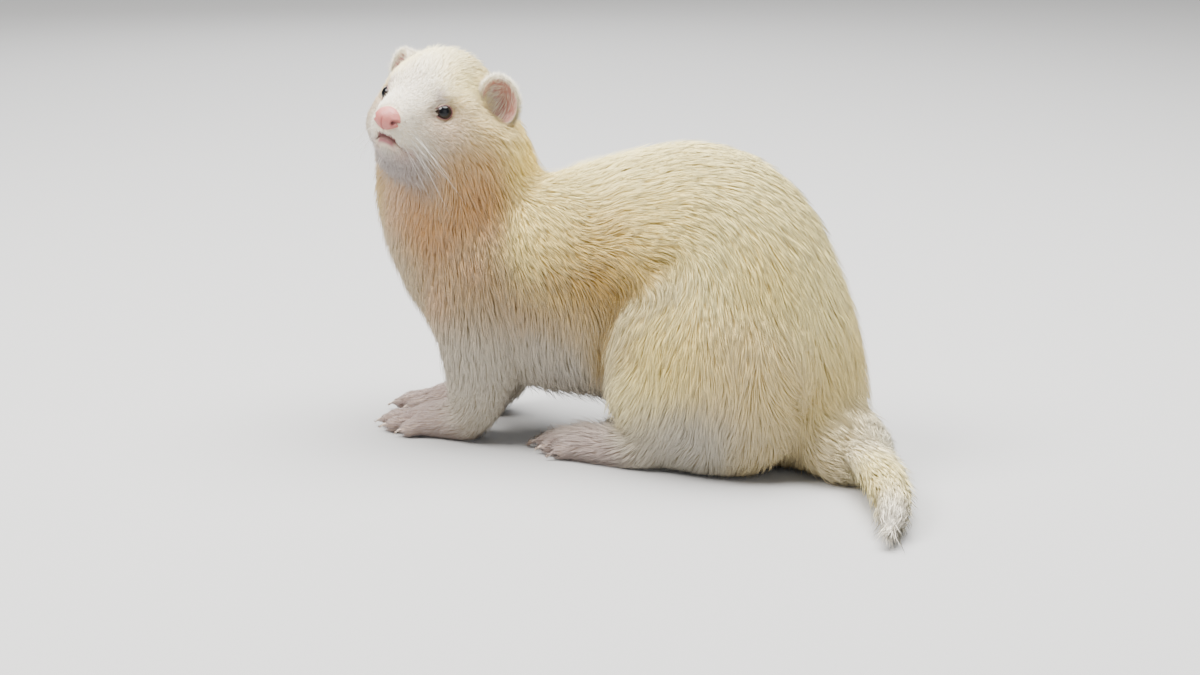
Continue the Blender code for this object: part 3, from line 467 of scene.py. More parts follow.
def toes_of(foot, side):
    """The knuckle and the tip of each toe of one foot, on the floor plan in millimetres."""
    toes = np.array(FORE_TOES if foot == "fore" else HIND_TOES)
    return toes if side > 0 else toes * (-1, 1) + RIGHT_SHIFT[foot]


def between_toes(places, width):
    """How deep each place on the body's axes lies in a groove between two toes, from 0 to 1."""
    deepest = np.zeros(len(places))
    for foot in ("fore", "hind"):
        for side in (1, -1):
            toes = toes_of(foot, side)
            for one, two in zip(toes[:-1], toes[1:]):
                start, way = (one[0] + two[0]) / 2, (one[1] + two[1] - one[0] - two[0]) / 2
                share = np.clip((places[:, :2] - start) @ way / (way @ way), 0.0, 1.15)
                away = np.linalg.norm(places[:, :2] - start - share[:, None] * way, axis=1)
                deepest = np.maximum(deepest, hill(away, width) * smooth_step(share, 0.0, 0.3))
    return deepest * (places[:, 2] < 16)


set_points(skin.data, points)
body = to_body(points)
RIGHT_HAUNCH = np.array((6.0, 0.0))
from_haunch = beyond(body[:, 1:] - (body[:, :1] < 0) * RIGHT_HAUNCH, HAUNCH_EDGE)
HAUNCH_SINK = 2.6
sink = HAUNCH_SINK * hill(from_haunch + 2.2, 3.4) * smooth_step(np.abs(body[:, 0]), 17, 25)
sink *= smooth_step(body[:, 2], 30, 44) * (1.0 - smooth_step(body[:, 1], 44, 58))
TOE_GROOVE = 1.3
upward = normals_of(skin.data)
groove = TOE_GROOVE * between_toes(body, 1.0) * smooth_step(upward[:, 2], -0.1, 0.4)
points = points - (sink * MM)[:, None] * upward
points[:, 2] -= groove * MM
set_points(skin.data, relaxed(points, edges, 0.4 * (sink > 0.05), 2))

# The hidden skin of the body is made coarser. That of the face is made finer, and that round the
# lids and lips finer again.
plain = skin.vertex_groups.new(name="plain")
local = to_head(points) / MM
kept = (np.linalg.norm(local - (2, 0, -6), axis=1) < 30) | (feet > 0.3)
plain.add(np.flatnonzero(~kept).tolist(), 1.0, "REPLACE")
applied(skin, "DECIMATE", ratio=COARSER, vertex_group="plain", use_collapse_triangulate=True)
skin.vertex_groups.clear()
for finest in (False, True):
    local = to_head(points_of(skin.data)) / MM
    shape = bmesh.new()
    shape.from_mesh(skin.data)
    shape.verts.ensure_lookup_table()
    if finest:
        side = local * np.where(local[:, 1:2] < 0, (1, -1, 1), (1, 1, 1))
        near = np.linalg.norm(side - (0.8, 15.8, 0.3), axis=1) < 8
        near |= (np.abs(local[:, 2] + 15) < 9) & (local[:, 0] > 4) & (np.abs(local[:, 1]) < 13)
    else:
        near = (local[:, 0] > -9) & (np.linalg.norm(local - (4, 0, -8), axis=1) < 30)
    chosen = [e for e in shape.edges if near[e.verts[0].index] and near[e.verts[1].index]]
    bmesh.ops.subdivide_edges(shape, edges=chosen, cuts=1, use_grid_fill=True)
    bmesh.ops.triangulate(shape, faces=[f for f in shape.faces if len(f.verts) > 3])
    shape.to_mesh(skin.data)
    shape.free()
local = to_head(points_of(skin.data))
close = smooth_step(-np.linalg.norm(local / MM - (4, 0, -8), axis=1), -32, -24)
local = to_head(relaxed(points_of(skin.data), edges_of(skin.data), 0.5 * close, 6))

# Under each ear the skin keeps below the cup, and is smooth round it. The cup's form, from its
# bottom over the rim and down its back: share of the radius, height in millimetres, and how much of
# the rim's own height it takes
EAR_PROFILE = (
    (0.0, -4.6, 0.0), (0.18, -4.5, 0.05), (0.38, -3.9, 0.2), (0.56, -2.9, 0.4), (0.70, -1.7, 0.65),
    (0.81, -0.5, 0.85), (0.89, 0.7, 1.0), (0.945, 1.3, 1.0), (0.985, 1.3, 1.0), (1.01, 0.7, 1.0),
    (1.02, -0.4, 0.9), (1.0, -1.8, 0.7), (0.94, -3.4, 0.45), (0.85, -5.2, 0.2), (0.72, -7.0, 0.0),
    (0.40, -8.2, 0.0), (0.0, -8.6, 0.0),
)
RIM_STEP = 7


def ear_rim(angles):
    """How high the rim stands round the ear: across is 0, up is a quarter turn."""
    top = np.sin(angles)
    return 1.0 + 1.6 * np.cos(angles) + 1.3 * top - 1.2 * smooth_step(-top, 0.2, 1.0)


edges = edges_of(skin.data)
cup_reach, cup_height, cup_rise = np.array(EAR_PROFILE[: RIM_STEP + 1]).T
near_ears = np.zeros(len(local))
for side in (1, -1):
    away = np.linalg.norm(local - EAR_PLACES[side], axis=1) / MM
    near_ears = np.maximum(near_ears, 1.0 - smooth_step(away, 11.0, 19.0))
for _ in range(3):
    local = relaxed(local, edges, 0.5 * near_ears, 14)
    for side in (1, -1):
        ear_axes = facing(mirrored(EAR_AXIS, side), mirrored(EAR_HEIGHT, side))
        in_ear = (local - EAR_PLACES[side]) @ ear_axes.T
        reach = np.hypot(in_ear[:, 0] / EAR_RADII[0], in_ear[:, 1] / EAR_RADII[1])
        rim = ear_rim(np.arctan2(in_ear[:, 1], side * in_ear[:, 0]))
        cap = np.interp(reach, cup_reach, cup_height) + np.interp(reach, cup_reach, cup_rise) * rim - 0.9
        within = (reach < 1.0) & (in_ear[:, 2] > cap * MM) & (in_ear[:, 2] < 12 * MM)
        in_ear[within, 2] = cap[within] * MM
        local = in_ear @ ear_axes + EAR_PLACES[side]

# The jaw is narrow under the cheeks, with a crease where the throat begins, a hollow lies before
# each eye, and the upper lip swells where the whiskers grow
JAW_EDGE = ((0.0, -34.0), (14.0, -33.6), (20.0, -31.5), (25.0, -27.0), (29.0, -18.0))
mm = local / MM
set_points(skin.data, from_head(local))
out = normals_of(skin.data) @ HEAD_AXES.T
below = np.interp(np.abs(mm[:, 1]), *np.array(JAW_EDGE).T) - mm[:, 2]
press = 3.4 * smooth_step(below, -3.0, 1.5) * (1.0 - smooth_step(below, 2.0, 26.0))
press *= smooth_step(mm[:, 0], -16.0, -4.0) * (1.0 - smooth_step(np.abs(mm[:, 1]), 15.0, 26.0))
# Place on the head's axes in millimetres, reach, and how far it sinks, or swells if less than nothing
SOFT_FORMS = (
    ((6.5, 9.0, 4.5), 5.0, 1.3),
    ((4.0, 0.0, 8.0), 6.0, 1.2),
    ((9.0, 13.0, -5.0), 5.5, 0.7),
    ((14.0, 8.5, -13.5), 4.2, -0.9),
    ((9.0, 14.0, -25.0), 6.0, 0.9),
    ((14.0, 0.0, -26.0), 5.0, -0.6),
)
for place, reach, depth in SOFT_FORMS:
    for side in ((1, -1) if place[1] else (1,)):
        press += depth * hill(np.linalg.norm(mm - mirrored(place, side), axis=1), reach)
local = local - (press * MM)[:, None] * out

# The lids: an almond opening with a soft rim that hugs the eyeball
LID_WIDTH = 3.55 * MM
LID_HEIGHT = 2.95 * MM
LID_REACH = 2.3
LID_THICKNESS = 0.45 * MM
EYE_SLANT = math.radians(12.0)


def lid_frame():
    """The opening's own axes as rows: forward along it, up across it, and out of the eye."""
    back, up, out = facing(EYE_AXIS, (0, 0, 1))
    turned = math.cos(EYE_SLANT) * back + math.sin(EYE_SLANT) * up
    return np.array((-turned, np.cross(out, -turned), out))


LID_AXES = lid_frame()


def pressed_lids(local):
    """The skin round each eye lies on the eyeball, with a thin raised rim, and drops inside it."""
    side = np.where(local[:, 1:2] < 0, -1.0, 1.0)
    mirror = np.hstack([np.ones_like(side), side, np.ones_like(side)])
    place = (local * mirror - EYEBALL_CENTRE) @ LID_AXES.T
    ahead, above, out = place.T
    width = LID_WIDTH * np.where(ahead > 0, 1.12, 0.92)
    height = LID_HEIGHT * np.where(above > 0, 1.0, 0.94) * (1.0 - 0.16 * np.clip(ahead / LID_WIDTH, -1, 1))
    share = (np.abs(ahead / width) ** 1.75 + np.abs(above / height) ** 1.95) ** 0.53
    flat = ahead**2 + above**2
    globe = np.sqrt(np.maximum(EYEBALL_RADIUS**2 - flat, (0.9 * MM) ** 2))
    rim = globe + 0.15 * MM + LID_THICKNESS * np.sin(np.pi * np.clip((share - 0.98) / 0.9, 0, 1)) ** 0.7
    inside = globe - 0.9 * MM
    wanted = inside + (rim - inside) * smooth_step(share, 0.90, 1.02)
    hold = 1.0 - smooth_step(share, 1.15, LID_REACH)
    hold *= (out > -2.5 * MM) & (np.abs(ahead) < 9 * MM)
    place[:, 2] = out + hold * (wanted - out)
    return (place @ LID_AXES + EYEBALL_CENTRE) * mirror, share, hold


local, lid_share, lid_hold = pressed_lids(local)

# The line of the mouth, from under the nose to its corner, on the head's axes in millimetres:
# place forward, height. Below it the lower lip is a soft pink roll.
MOUTH_LINE = np.array(
    ((-1.0, -23.6), (3.0, -22.4), (6.5, -21.3), (10.0, -20.3), (13.0, -19.1),
     (15.4, -17.2), (17.6, -15.0), (19.0, -13.6), (24.0, -12.8))
)
mm = local / MM
line_height = np.interp(mm[:, 0], *MOUTH_LINE.T)
from_line = mm[:, 2] - line_height
mouth_reach = smooth_step(mm[:, 0], -0.5, 5.0) * (np.abs(mm[:, 1]) < 15)
set_points(skin.data, from_head(local))
out = normals_of(skin.data) @ HEAD_AXES.T
parted = 0.35 + 0.65 * smooth_step(mm[:, 0], 9.0, 14.0)
open_here = smooth_step(mm[:, 0], 13.0, 15.5) * (1.0 - smooth_step(np.abs(mm[:, 1]), 3.6, 6.6))
groove = -(1.0 * parted + 0.3 * open_here) * hill(from_line + 0.2 * open_here, 0.6 + 0.1 * open_here)
groove += 0.25 * hill(from_line - 1.5, 0.9) + 0.30 * parted * hill(from_line + 1.7, 0.8)
parting = -0.5 * hill(mm[:, 1], 0.5) * (mm[:, 0] > 13) * smooth_step(-np.abs(mm[:, 2] + 11.5), -2.6, -1.4)
local = local + ((mouth_reach * groove + parting) * MM)[:, None] * out
set_points(skin.data, from_head(local))
# the soles stand on the floor
points = points_of(skin.data)
points[:, 2] = np.maximum(points[:, 2], 0.0)
set_points(skin.data, points)

# Where the skin is bare: the lids' rims, the lips and the line of the mouth, the soles and the nose's bed
mm = to_head(points_of(skin.data)) / MM
lid_bare = lid_hold * (1.0 - smooth_step(lid_share, 1.08, 1.26))
lip_bare = mouth_reach * hill(from_line + 1.3, 1.4) * smooth_step(mm[:, 0], 11.5, 14.0)
lip_bare *= 1.0 - smooth_step(np.abs(mm[:, 1]), 3.0, 6.4)
lip_bare = np.maximum(lip_bare, 0.9 * open_here * hill(from_line, 1.2))
line_bare = 0.8 * mouth_reach * hill(from_line, 0.55) * smooth_step(mm[:, 0], 5.0, 12.0)
nose_bed = 1.0 - smooth_step(np.linalg.norm((mm - NOSE_CENTRE / MM) / (NOSE_RADII / MM), axis=1), 0.80, 1.06)
nose_bed *= mm[:, 0] > 12
body = to_body(points_of(skin.data))
bare = np.clip(np.maximum.reduce([lid_bare, lip_bare, line_bare, nose_bed]), 0, 1)

# The colour of the coat, the same on the skin and on the hair that grows from it
WHITE = (0.94, 0.87, 0.73)
IVORY = (0.98, 0.84, 0.38)
CREAM = (0.92, 0.73, 0.25)
STRAW = (0.75, 0.53, 0.16)
# the flank's own ochre, darkened further with painted shade behind the elbow
SHADED_OCHRE = (0.36, 0.20, 0.035)
SAND = (0.43, 0.295, 0.15)
# painted shade, for the crease where the neck meets the chest
CREASE_SHADE = (0.56, 0.33, 0.16)
APRICOT = (0.57, 0.30, 0.11)
# the chin's white, greyed with painted shade
SHADED_CHIN_WHITE = (0.41, 0.36, 0.345)
# the pale coat of the lower body and of the feet, greyed with painted shade
SHADED_PALE_SAND = (0.55, 0.49, 0.39)
SHADED_PINK_WHITE = (0.42, 0.33, 0.30)
# the white under the eyes, darkened with painted shade
SHADED_SOFT_WHITE = (0.58, 0.45, 0.32)
# Place on the body's axes in millimetres, reach, colour: cream back, ochre flank, apricot neck
MARKINGS = (
    ((0, 0, 125), 22, IVORY),
    ((0, 50, 135), 30, IVORY),
    ((0, 100, 105), 24, IVORY),
    ((0, 122, 50), 24, (0.80, 0.64, 0.26)),
    ((30, 2, 100), 14, STRAW),
    ((30, 40, 112), 16, CREAM),
    # the flank behind the elbow: its ochre, darkened with painted shade
    ((33, 14, 84), 14, SHADED_OCHRE),
    ((37, 26, 76), 9, SHADED_OCHRE),
    ((35, 34, 86), 13, STRAW),
    ((36, 12, 66), 12, (0.56, 0.42, 0.22)),
    ((36, 26, 58), 8, (0.50, 0.35, 0.14)),
    # painted shade: the belly's and the lower flank's pale coat is greyed, as less light falls low on the
    # body
    ((34, 8, 45), 16, (0.44, 0.40, 0.34)),
    ((0, 10, 25), 20, SHADED_PALE_SAND),
    ((34, 60, 94), 14, IVORY),
    ((40, 42, 76), 10, IVORY),
    ((44, 50, 60), 16, CREAM),
    ((44, 80, 60), 18, (0.77, 0.60, 0.28)),
    ((34, 105, 55), 16, (0.74, 0.58, 0.27)),
    ((41, 32, 40), 14, IVORY),
    # painted shade: the lower haunch's pale coat is greyed
    ((42, 60, 22), 18, (0.48, 0.44, 0.36)),
    ((36, 95, 15), 16, (0.62, 0.50, 0.27)),
    # painted shade: the low flank and the hind feet are greyed
    ((38, 40, 24), 12, SHADED_PALE_SAND),
    ((36, 10, 8), 14, SHADED_PINK_WHITE),
    ((28, -10, 5), 12, SHADED_PINK_WHITE),
    ((34, -45, 80), 18, SAND),
    ((24, -18, 104), 14, CREAM),
    # painted shade: the foreleg and the forepaw are greyed
    ((38, -45, 50), 16, SHADED_PALE_SAND),
    ((26, -46, 22), 14, SHADED_PALE_SAND),
    ((20, -70, 6), 14, SHADED_PINK_WHITE),
    ((14, -92, 5), 12, SHADED_PINK_WHITE),
    ((0, -98, 85), 20, (0.61, 0.50, 0.34)),
    ((22, -82, 78), 16, (0.55, 0.43, 0.26)),
    ((30, -68, 106), 12, APRICOT),
    ((0, -100, 112), 14, STRAW),
    ((28, -44, 118), 12, APRICOT),
    ((33, -58, 122), 9, (0.58, 0.36, 0.16)),
    ((0, -30, 130), 14, CREAM),
    ((8, 128, 24), 15, (0.98, 0.92, 0.74)),
    ((30, 86, 98), 15, CREAM),
    ((22, 112, 78), 15, IVORY),
    # painted shade along the crease where the neck meets the chest
    ((31, -60, 94), 6, CREASE_SHADE),
    ((34, -45, 87), 6, CREASE_SHADE),
    ((25, -40, 103), 5, CREASE_SHADE),
    ((33, -60, 75), 7, (0.66, 0.42, 0.24)),
    ((40, 150, 16), 18, IVORY),
    ((80, 164, 8), 22, WHITE),
)
HEAD_MARKINGS = (
    ((14, 0, 2), 9, WHITE),
    ((2, 0, 12), 10, WHITE),
    ((-14, 0, 22), 13, (0.98, 0.87, 0.52)),
    ((-8, 14, 16), 9, IVORY),
    # painted shade under the eye, over its white fur
    ((6, 14, -6), 7, SHADED_SOFT_WHITE),
    ((0, 19, -5), 7, SHADED_SOFT_WHITE),
    ((12, 9, -12), 8, WHITE),
    ((-12, 22, -2), 10, (0.84, 0.68, 0.36)),
    ((-12, 24, -16), 10, (0.71, 0.51, 0.28)),
    ((-30, 22, -14), 10, APRICOT),
    ((-36, 0, 8), 14, CREAM),
    # painted shade under the jaw, over the chin's white
    ((8, 6, -27), 8, SHADED_CHIN_WHITE),
    ((12, 8, -20), 4, (0.56, 0.40, 0.38)),
    ((0, 14, -27), 7, SHADED_CHIN_WHITE),
    ((-4, 0, -42), 7, (0.70, 0.46, 0.27)),
    ((-6, 18, -36), 8, (0.60, 0.40, 0.22)),
    # painted shade along the fold that rises from each eye's inner corner
    ((2.5, 13.5, 4), 1.7, (0.46, 0.37, 0.36)),
    ((3, 12.3, 6), 1.6, (0.50, 0.41, 0.39)),
    ((3.2, 11.5, 8), 1.5, (0.58, 0.49, 0.45)),
    ((-26, 30, 10), 9, (0.94, 0.84, 0.56)),
)

# the far side is plainer: its markings are drawn towards one cream
FAR_SIDE = (0.78, 0.62, 0.30)


def blended_colours(points, rows, head_rows):
    """Each point's colour, blended from rows on the body's left, mirrored to its right, and on the head."""
    total = np.zeros(len(points))
    value = np.zeros((len(points), 3))
    for side in (1, -1):
        placed = []
        for place, reach, colour in rows:
            evened = 0.55 if side < 0 and place[0] != 0 and place[2] > 30 else 0.0
            colour = np.array(colour) * (1 - evened) + evened * np.array(FAR_SIDE)
            placed.append((from_body(np.array(place) * (side, 1, 1)), reach, colour))
        for place, reach, colour in head_rows:
            evened = 0.6 if side < 0 and place[0] < -20 else 0.0
            colour = np.array(colour) * (1 - evened) + evened * np.array(FAR_SIDE)
            placed.append((from_head(mirrored(place, side) * MM), reach, colour))
        for place, reach, colour in placed:
            weight = nearness(points, place, reach)
            total += weight
            value += weight[:, None] * np.array(colour)
    return value / total[:, None]


def set_attribute(mesh, name, values):
    """Stores one number or one colour for each point of a mesh."""
    if values.ndim == 1:
        mesh.attributes.new(name, "FLOAT", "POINT").data.foreach_set("value", values.astype(np.float32))
        return
    full = np.ones((len(values), 4), np.float32)
    full[:, :3] = values
    mesh.attributes.new(name, "FLOAT_COLOR", "POINT").data.foreach_set("color", full.ravel())


skin_points = points_of(skin.data)
skin_normals = normals_of(skin.data)
skin_colours = blended_colours(skin_points, MARKINGS, HEAD_MARKINGS)
# painted light: the haunch's front edge is pale with a painted highlight, and the flank in front of it
# darkened with painted shade in the crease
body = to_body(skin_points)
from_haunch = beyond(body[:, 1:] - (body[:, :1] < 0) * RIGHT_HAUNCH, HAUNCH_EDGE)
beside_haunch = smooth_step(np.abs(body[:, 0]), 15, 24) * smooth_step(body[:, 2], 34, 52)
beside_haunch *= 1.0 - smooth_step(body[:, 1], 50, 66)
HAUNCH_EDGE_HIGHLIGHT = np.array((0.97, 0.83, 0.44))
FLANK_SHADE = np.array((0.38, 0.25, 0.08))
MOST_EDGE_HIGHLIGHT = 0.85
MOST_SHADED = 0.9
edge_highlight = MOST_EDGE_HIGHLIGHT * beside_haunch * smooth_step(from_haunch, -0.5, 2.0)
edge_highlight *= 1.0 - smooth_step(from_haunch, 4.0, 15.0)
shaded = MOST_SHADED * beside_haunch * smooth_step(-from_haunch, -0.8, 1.2)
shaded *= 1.0 - smooth_step(-from_haunch, 3.0, 14.0)
shaded *= 1.0 - smooth_step(body[:, 2], 78, 90)
skin_colours += edge_highlight[:, None] * (HAUNCH_EDGE_HIGHLIGHT - skin_colours)
skin_colours += shaded[:, None] * (FLANK_SHADE - skin_colours)
# painted shade: the hair in the grooves between the toes is darkened
skin_colours *= 1.0 - 0.45 * between_toes(body, 1.1)[:, None] * np.array((0.9, 1.0, 1.0))
# these colours, painted shade and highlights included, are stored on the skin
set_attribute(skin.data, "marking", skin_colours)
set_attribute(skin.data, "bare", bare)
# painted shade: dark red is painted into the mouth's opening and along its line, and at the lids' inner edge
# against the eyeball, where the gaps lie in shade
gap_shade = 0.75 * open_here * hill(from_line + 0.2, 0.55) + line_bare * smooth_step(mm[:, 0], 8.0, 15.0)
gap_shade = np.clip(gap_shade + lid_hold * (1.0 - smooth_step(lid_share, 0.95, 1.12)), 0, 1)
set_attribute(skin.data, "dark", gap_shade)
set_attribute(skin.data, "lid", lid_bare * 0.85)


def new_material(name):
    """A material with its node tree, and its Principled shader."""
    made = bpy.data.materials.new(name)
    made.use_nodes = True
    return made, made.node_tree, made.node_tree.nodes["Principled BSDF"]


def node(tree, kind, inputs=(), **settings):
    """A node with its settings, and its inputs linked or set by name or number."""
    made = tree.nodes.new(kind)
    for name, value in settings.items():
        setattr(made, name, value)
    for name, value in dict(inputs).items():
        socket = made.inputs[name]
        if isinstance(value, bpy.types.NodeSocket):
            tree.links.new(value, socket)
        else:
            socket.default_value = value
    return made


def attribute(tree, name):
    return node(tree, "ShaderNodeAttribute", attribute_name=name)


def mixed(tree, kind, share, first, second):
    """The colour of two mixed by a share."""
    made = node(tree, "ShaderNodeMix", data_type="RGBA", blend_type=kind)
    for name, value in ((0, share), (6, first), (7, second)):
        if isinstance(value, bpy.types.NodeSocket):
            tree.links.new(value, made.inputs[name])
        else:
            made.inputs[name].default_value = value
    return made.outputs[2]


# The tone of the fur, shared by skin and coat: warm and dark at the root, pale at the tip
tone = bpy.data.node_groups.new("fur_tone", "ShaderNodeTree")
TONE_INPUTS = (("Marking", "NodeSocketColor"), ("Along", "NodeSocketFloat"), ("Chance", "NodeSocketFloat"))
for name, kind in TONE_INPUTS:
    tone.interface.new_socket(name, in_out="INPUT", socket_type=kind)
tone.interface.new_socket("Colour", in_out="OUTPUT", socket_type="NodeSocketColor")
given = node(tone, "NodeGroupInput")
ROOT_TINT = (0.95, 0.87, 0.70, 1.0)
TIP_COLOUR = (1.0, 0.97, 0.88, 1.0)
root_colour = mixed(tone, "MULTIPLY", 1.0, given.outputs["Marking"], ROOT_TINT)
tip_colour = mixed(tone, "MIX", 0.16, given.outputs["Marking"], TIP_COLOUR)
along = given.outputs["Along"]
smooth = {"interpolation_type": "SMOOTHSTEP"}
low = node(tone, "ShaderNodeMapRange", {"Value": along, "From Max": 0.55}, **smooth)
high = node(tone, "ShaderNodeMapRange", {"Value": along, "From Min": 0.45}, **smooth)
lower = mixed(tone, "MIX", low.outputs[0], root_colour, given.outputs["Marking"])
whole = mixed(tone, "MIX", high.outputs[0], lower, tip_colour)
shade = node(tone, "ShaderNodeMapRange", {"Value": given.outputs["Chance"], "To Min": 0.86, "To Max": 1.06})
grey = node(tone, "ShaderNodeCombineColor", {0: shade.outputs[0], 1: shade.outputs[0], 2: shade.outputs[0]})
varied = mixed(tone, "MULTIPLY", 1.0, whole, grey.outputs[0])
tone.links.new(varied, node(tone, "NodeGroupOutput").inputs["Colour"])

# The finish of the skin: undercoat where hair grows, soft pink where it is bare
skin_finish, tree, shader = new_material("skin_and_undercoat")
place = node(tree, "ShaderNodeTexCoord").outputs["Object"]
fine = node(tree, "ShaderNodeTexNoise", {"Vector": place, "Scale": 900.0, "Detail": 3.0})
broad = node(tree, "ShaderNodeTexNoise", {"Vector": place, "Scale": 120.0, "Detail": 2.0})
undercoat = node(tree, "ShaderNodeGroup", node_tree=tone)
tree.links.new(attribute(tree, "marking").outputs["Color"], undercoat.inputs["Marking"])
undercoat.inputs["Along"].default_value = 0.22
tree.links.new(fine.outputs[0], undercoat.inputs["Chance"])
PINK = (0.22, 0.07, 0.075, 1.0)
PALE_PINK = (0.27, 0.10, 0.105, 1.0)
DARK_RED = (0.13, 0.04, 0.04, 1.0)
MAUVE = (0.19, 0.11, 0.11, 1.0)
pink = mixed(tree, "MIX", broad.outputs[0], PINK, PALE_PINK)
lips = mixed(tree, "MIX", attribute(tree, "bare").outputs["Fac"], undercoat.outputs[0], pink)
lips = mixed(tree, "MIX", attribute(tree, "lid").outputs["Fac"], lips, MAUVE)
# painted shade: the gaps of the mouth and lids are painted dark red
whole = mixed(tree, "MIX", attribute(tree, "dark").outputs["Fac"], lips, DARK_RED)
tree.links.new(whole, shader.inputs["Base Color"])
shader.inputs["Roughness"].default_value = 0.62
bump = node(tree, "ShaderNodeBump", {"Height": fine.outputs[0], "Strength": 0.35, "Distance": 0.0003})
tree.links.new(bump.outputs[0], shader.inputs["Normal"])
skin.data.materials.clear()
skin.data.materials.append(skin_finish)

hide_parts(*FLESH, "tail")
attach(skin, "root")
skin.data.shade_smooth()

# The coat: hundreds of fine tapered tufts to each square centimetre, rooted in the skin.
# They lie one over another along the body as on the animal, and gather into soft locks.

# The lie of the coat. Place on the body's axes in millimetres, and the way the hair points there,
# for the animal's left; its right mirrors it.
LIE = (
    (0, -103, 108, 0, 0.05, -1), (0, -97, 80, 0, 0.25, -0.97), (0, -85, 58, 0, 0.35, -0.93),
    (27, -72, 65, -0.2, 0.1, -0.95), (30, -80, 104, -0.03, 0.04, -1), (33, -59, 111, -0.09, 0.07, -0.99),
    (28, -42, 117, -0.12, 0.11, -0.99), (19, -32, 121, -0.28, 0.22, -0.94), (0, -32, 128, 0, 0.35, -0.94),
    (0, -22, 118, 0, 0.85, -0.5), (34, -64, 86, 0.06, 0.18, -0.98), (33, -45, 96, 0.38, 0.39, -0.84),
    (26, -29, 102, 0.46, 0.56, -0.68), (24, -16, 107, 0.46, 0.75, -0.47), (30, -4, 99, 0.2, 0.92, -0.33),
    (34, -10, 83, 0.17, 0.57, -0.8), (35, -30, 75, 0.03, 0.26, -0.96), (39, -48, 70, 0.08, 0.16, -0.98),
    (0, 0, 129, 0, 0.98, 0.2), (0, 35, 137, 0, 1, 0.1), (0, 70, 137, 0, 0.98, -0.2),
    (0, 98, 118, 0, 0.65, -0.76), (0, 112, 90, 0, 0.36, -0.93), (0, 122, 60, 0, 0.25, -0.97),
    (0, 127, 38, 0, 0.4, -0.9), (19, -9, 116, 0.3, 0.95, 0.04), (17, 9, 123, -0.08, 0.93, 0.35),
    (18, 33, 128, -0.06, 0.97, 0.22), (14, 54, 132, -0.12, 0.99, 0.01), (6, 74, 132, -0.15, 0.95, -0.29),
    (7, 92, 118, -0.12, 0.63, -0.76), (5, 105, 97, 0.03, 0.45, -0.89), (3, 116, 71, 0.15, 0.31, -0.94),
    (4, 123, 45, 0.11, 0.2, -0.97), (30, 9, 104, 0.05, 0.99, 0.1), (30, 23, 107, -0.14, 0.85, 0.51),
    (27, 40, 116, -0.03, 0.98, 0.18), (28, 58, 114, 0.12, 0.92, -0.36), (30, 70, 104, 0.23, 0.59, -0.78),
    (32, 55, 104, 0.16, 0.87, -0.47), (32, 37, 102, 0.04, 1, 0.01), (34, 15, 91, 0.09, 0.98, -0.19),
    (35, 34, 90, 0.16, 0.87, -0.47), (36, 9, 75, 0.09, 0.46, -0.88), (37, 21, 67, 0.05, 0.22, -0.97),
    (35, 11, 52, -0.1, 0.03, -0.98), (33, -3, 50, -0.2, 0.02, -0.95), (29, 14, 39, -0.4, -0.1, -0.9),
    (0, 0, 25, 0, 0.7, -0.3), (36, 52, 89, 0.2, 0.07, -0.98), (36, 70, 84, 0.21, 0.23, -0.95),
    (38, 44, 78, 0.08, -0.42, -0.9), (38, 33, 68, 0.03, -0.44, -0.9), (38, 26, 54, -0.19, -0.37, -0.91),
    (44, 46, 58, 0.15, -0.1, -0.98), (46, 65, 60, 0.18, 0.12, -0.98), (35, 83, 80, 0.19, 0.38, -0.91),
    (41, 90, 61, 0.15, 0.16, -0.97), (32, 104, 60, 0.25, 0.25, -0.94), (33, 105, 30, -0.22, -0.08, -0.97),
    (44, 87, 31, -0.11, -0.09, -0.99), (46, 65, 29, -0.13, -0.19, -0.97), (45, 42, 35, -0.09, -0.27, -0.96),
    (38, 24, 32, -0.35, -0.39, -0.85), (37, 35, 14, -0.4, -0.55, -0.72), (41, 55, 11, -0.45, -0.47, -0.76),
    (40, 81, 11, -0.39, -0.29, -0.87), (20, 98, 7, -0.6, -0.2, -0.77), (22, 131, 29, 0.9, 0.42, -0.09),
    (33, 121, 22, 0.75, 0.57, -0.33), (38, -44, 48, -0.07, 0.03, -1), (35, -31, 57, -0.18, 0.08, -0.98),
    (32, -13, 49, -0.39, -0.02, -0.92), (30, -38, 23, -0.38, -0.1, -0.92),
    (30, -45, 15, -0.22, -0.54, -0.81), (28, -56, 9, -0.28, -0.92, -0.27),
    (25, -74, 9, -0.17, -0.98, -0.13), (17, -88, 7, -0.3, -0.94, -0.09), (10, -45, 40, 0, 0, -1),
    (10, -50, 20, 0, 0, -1), (37, 26, 11, 0, -0.91, -0.37), (34, 6, 10, -0.11, -0.98, -0.16),
    (26, -9, 8, -0.3, -0.9, -0.25),
)
# The same on the head, on the head's axes in millimetres
HEAD_LIE = (
    (14, 3, 1, -1, 0.05, 0.25), (12, 8, -8, -0.8, 0.5, -0.3), (10, 11, -16, -0.6, 0.5, -0.65),
    (12, 0, -28, -0.4, 0, -0.9), (2, 12, -29, -0.6, 0.3, -0.75), (0, 18, -8, -0.75, 0.55, -0.4),
    (-10, 24, -12, -0.85, 0.4, -0.25), (-10, 22, -25, -0.6, 0.25, -0.75), (0, 5, 11, -0.8, 0.1, 0.6),
    (0, 13, 8, -0.7, 0.45, 0.5), (-16, 0, 24, -1, 0.05, 0.05), (-18, 14, 19, -0.85, 0.5, 0),
    (-12, 22, 6, -0.85, 0.5, 0.05), (-36, 0, 14, -0.55, 0, -0.85), (-38, 20, 4, -0.6, 0.1, -0.8),
    (-5, 0, -33, -0.6, 0, -0.8), (18, 0, -1, -1, 0, 0.4),
)
LIE_REACH = 6.0
HEAD_LIE_REACH = 3.0

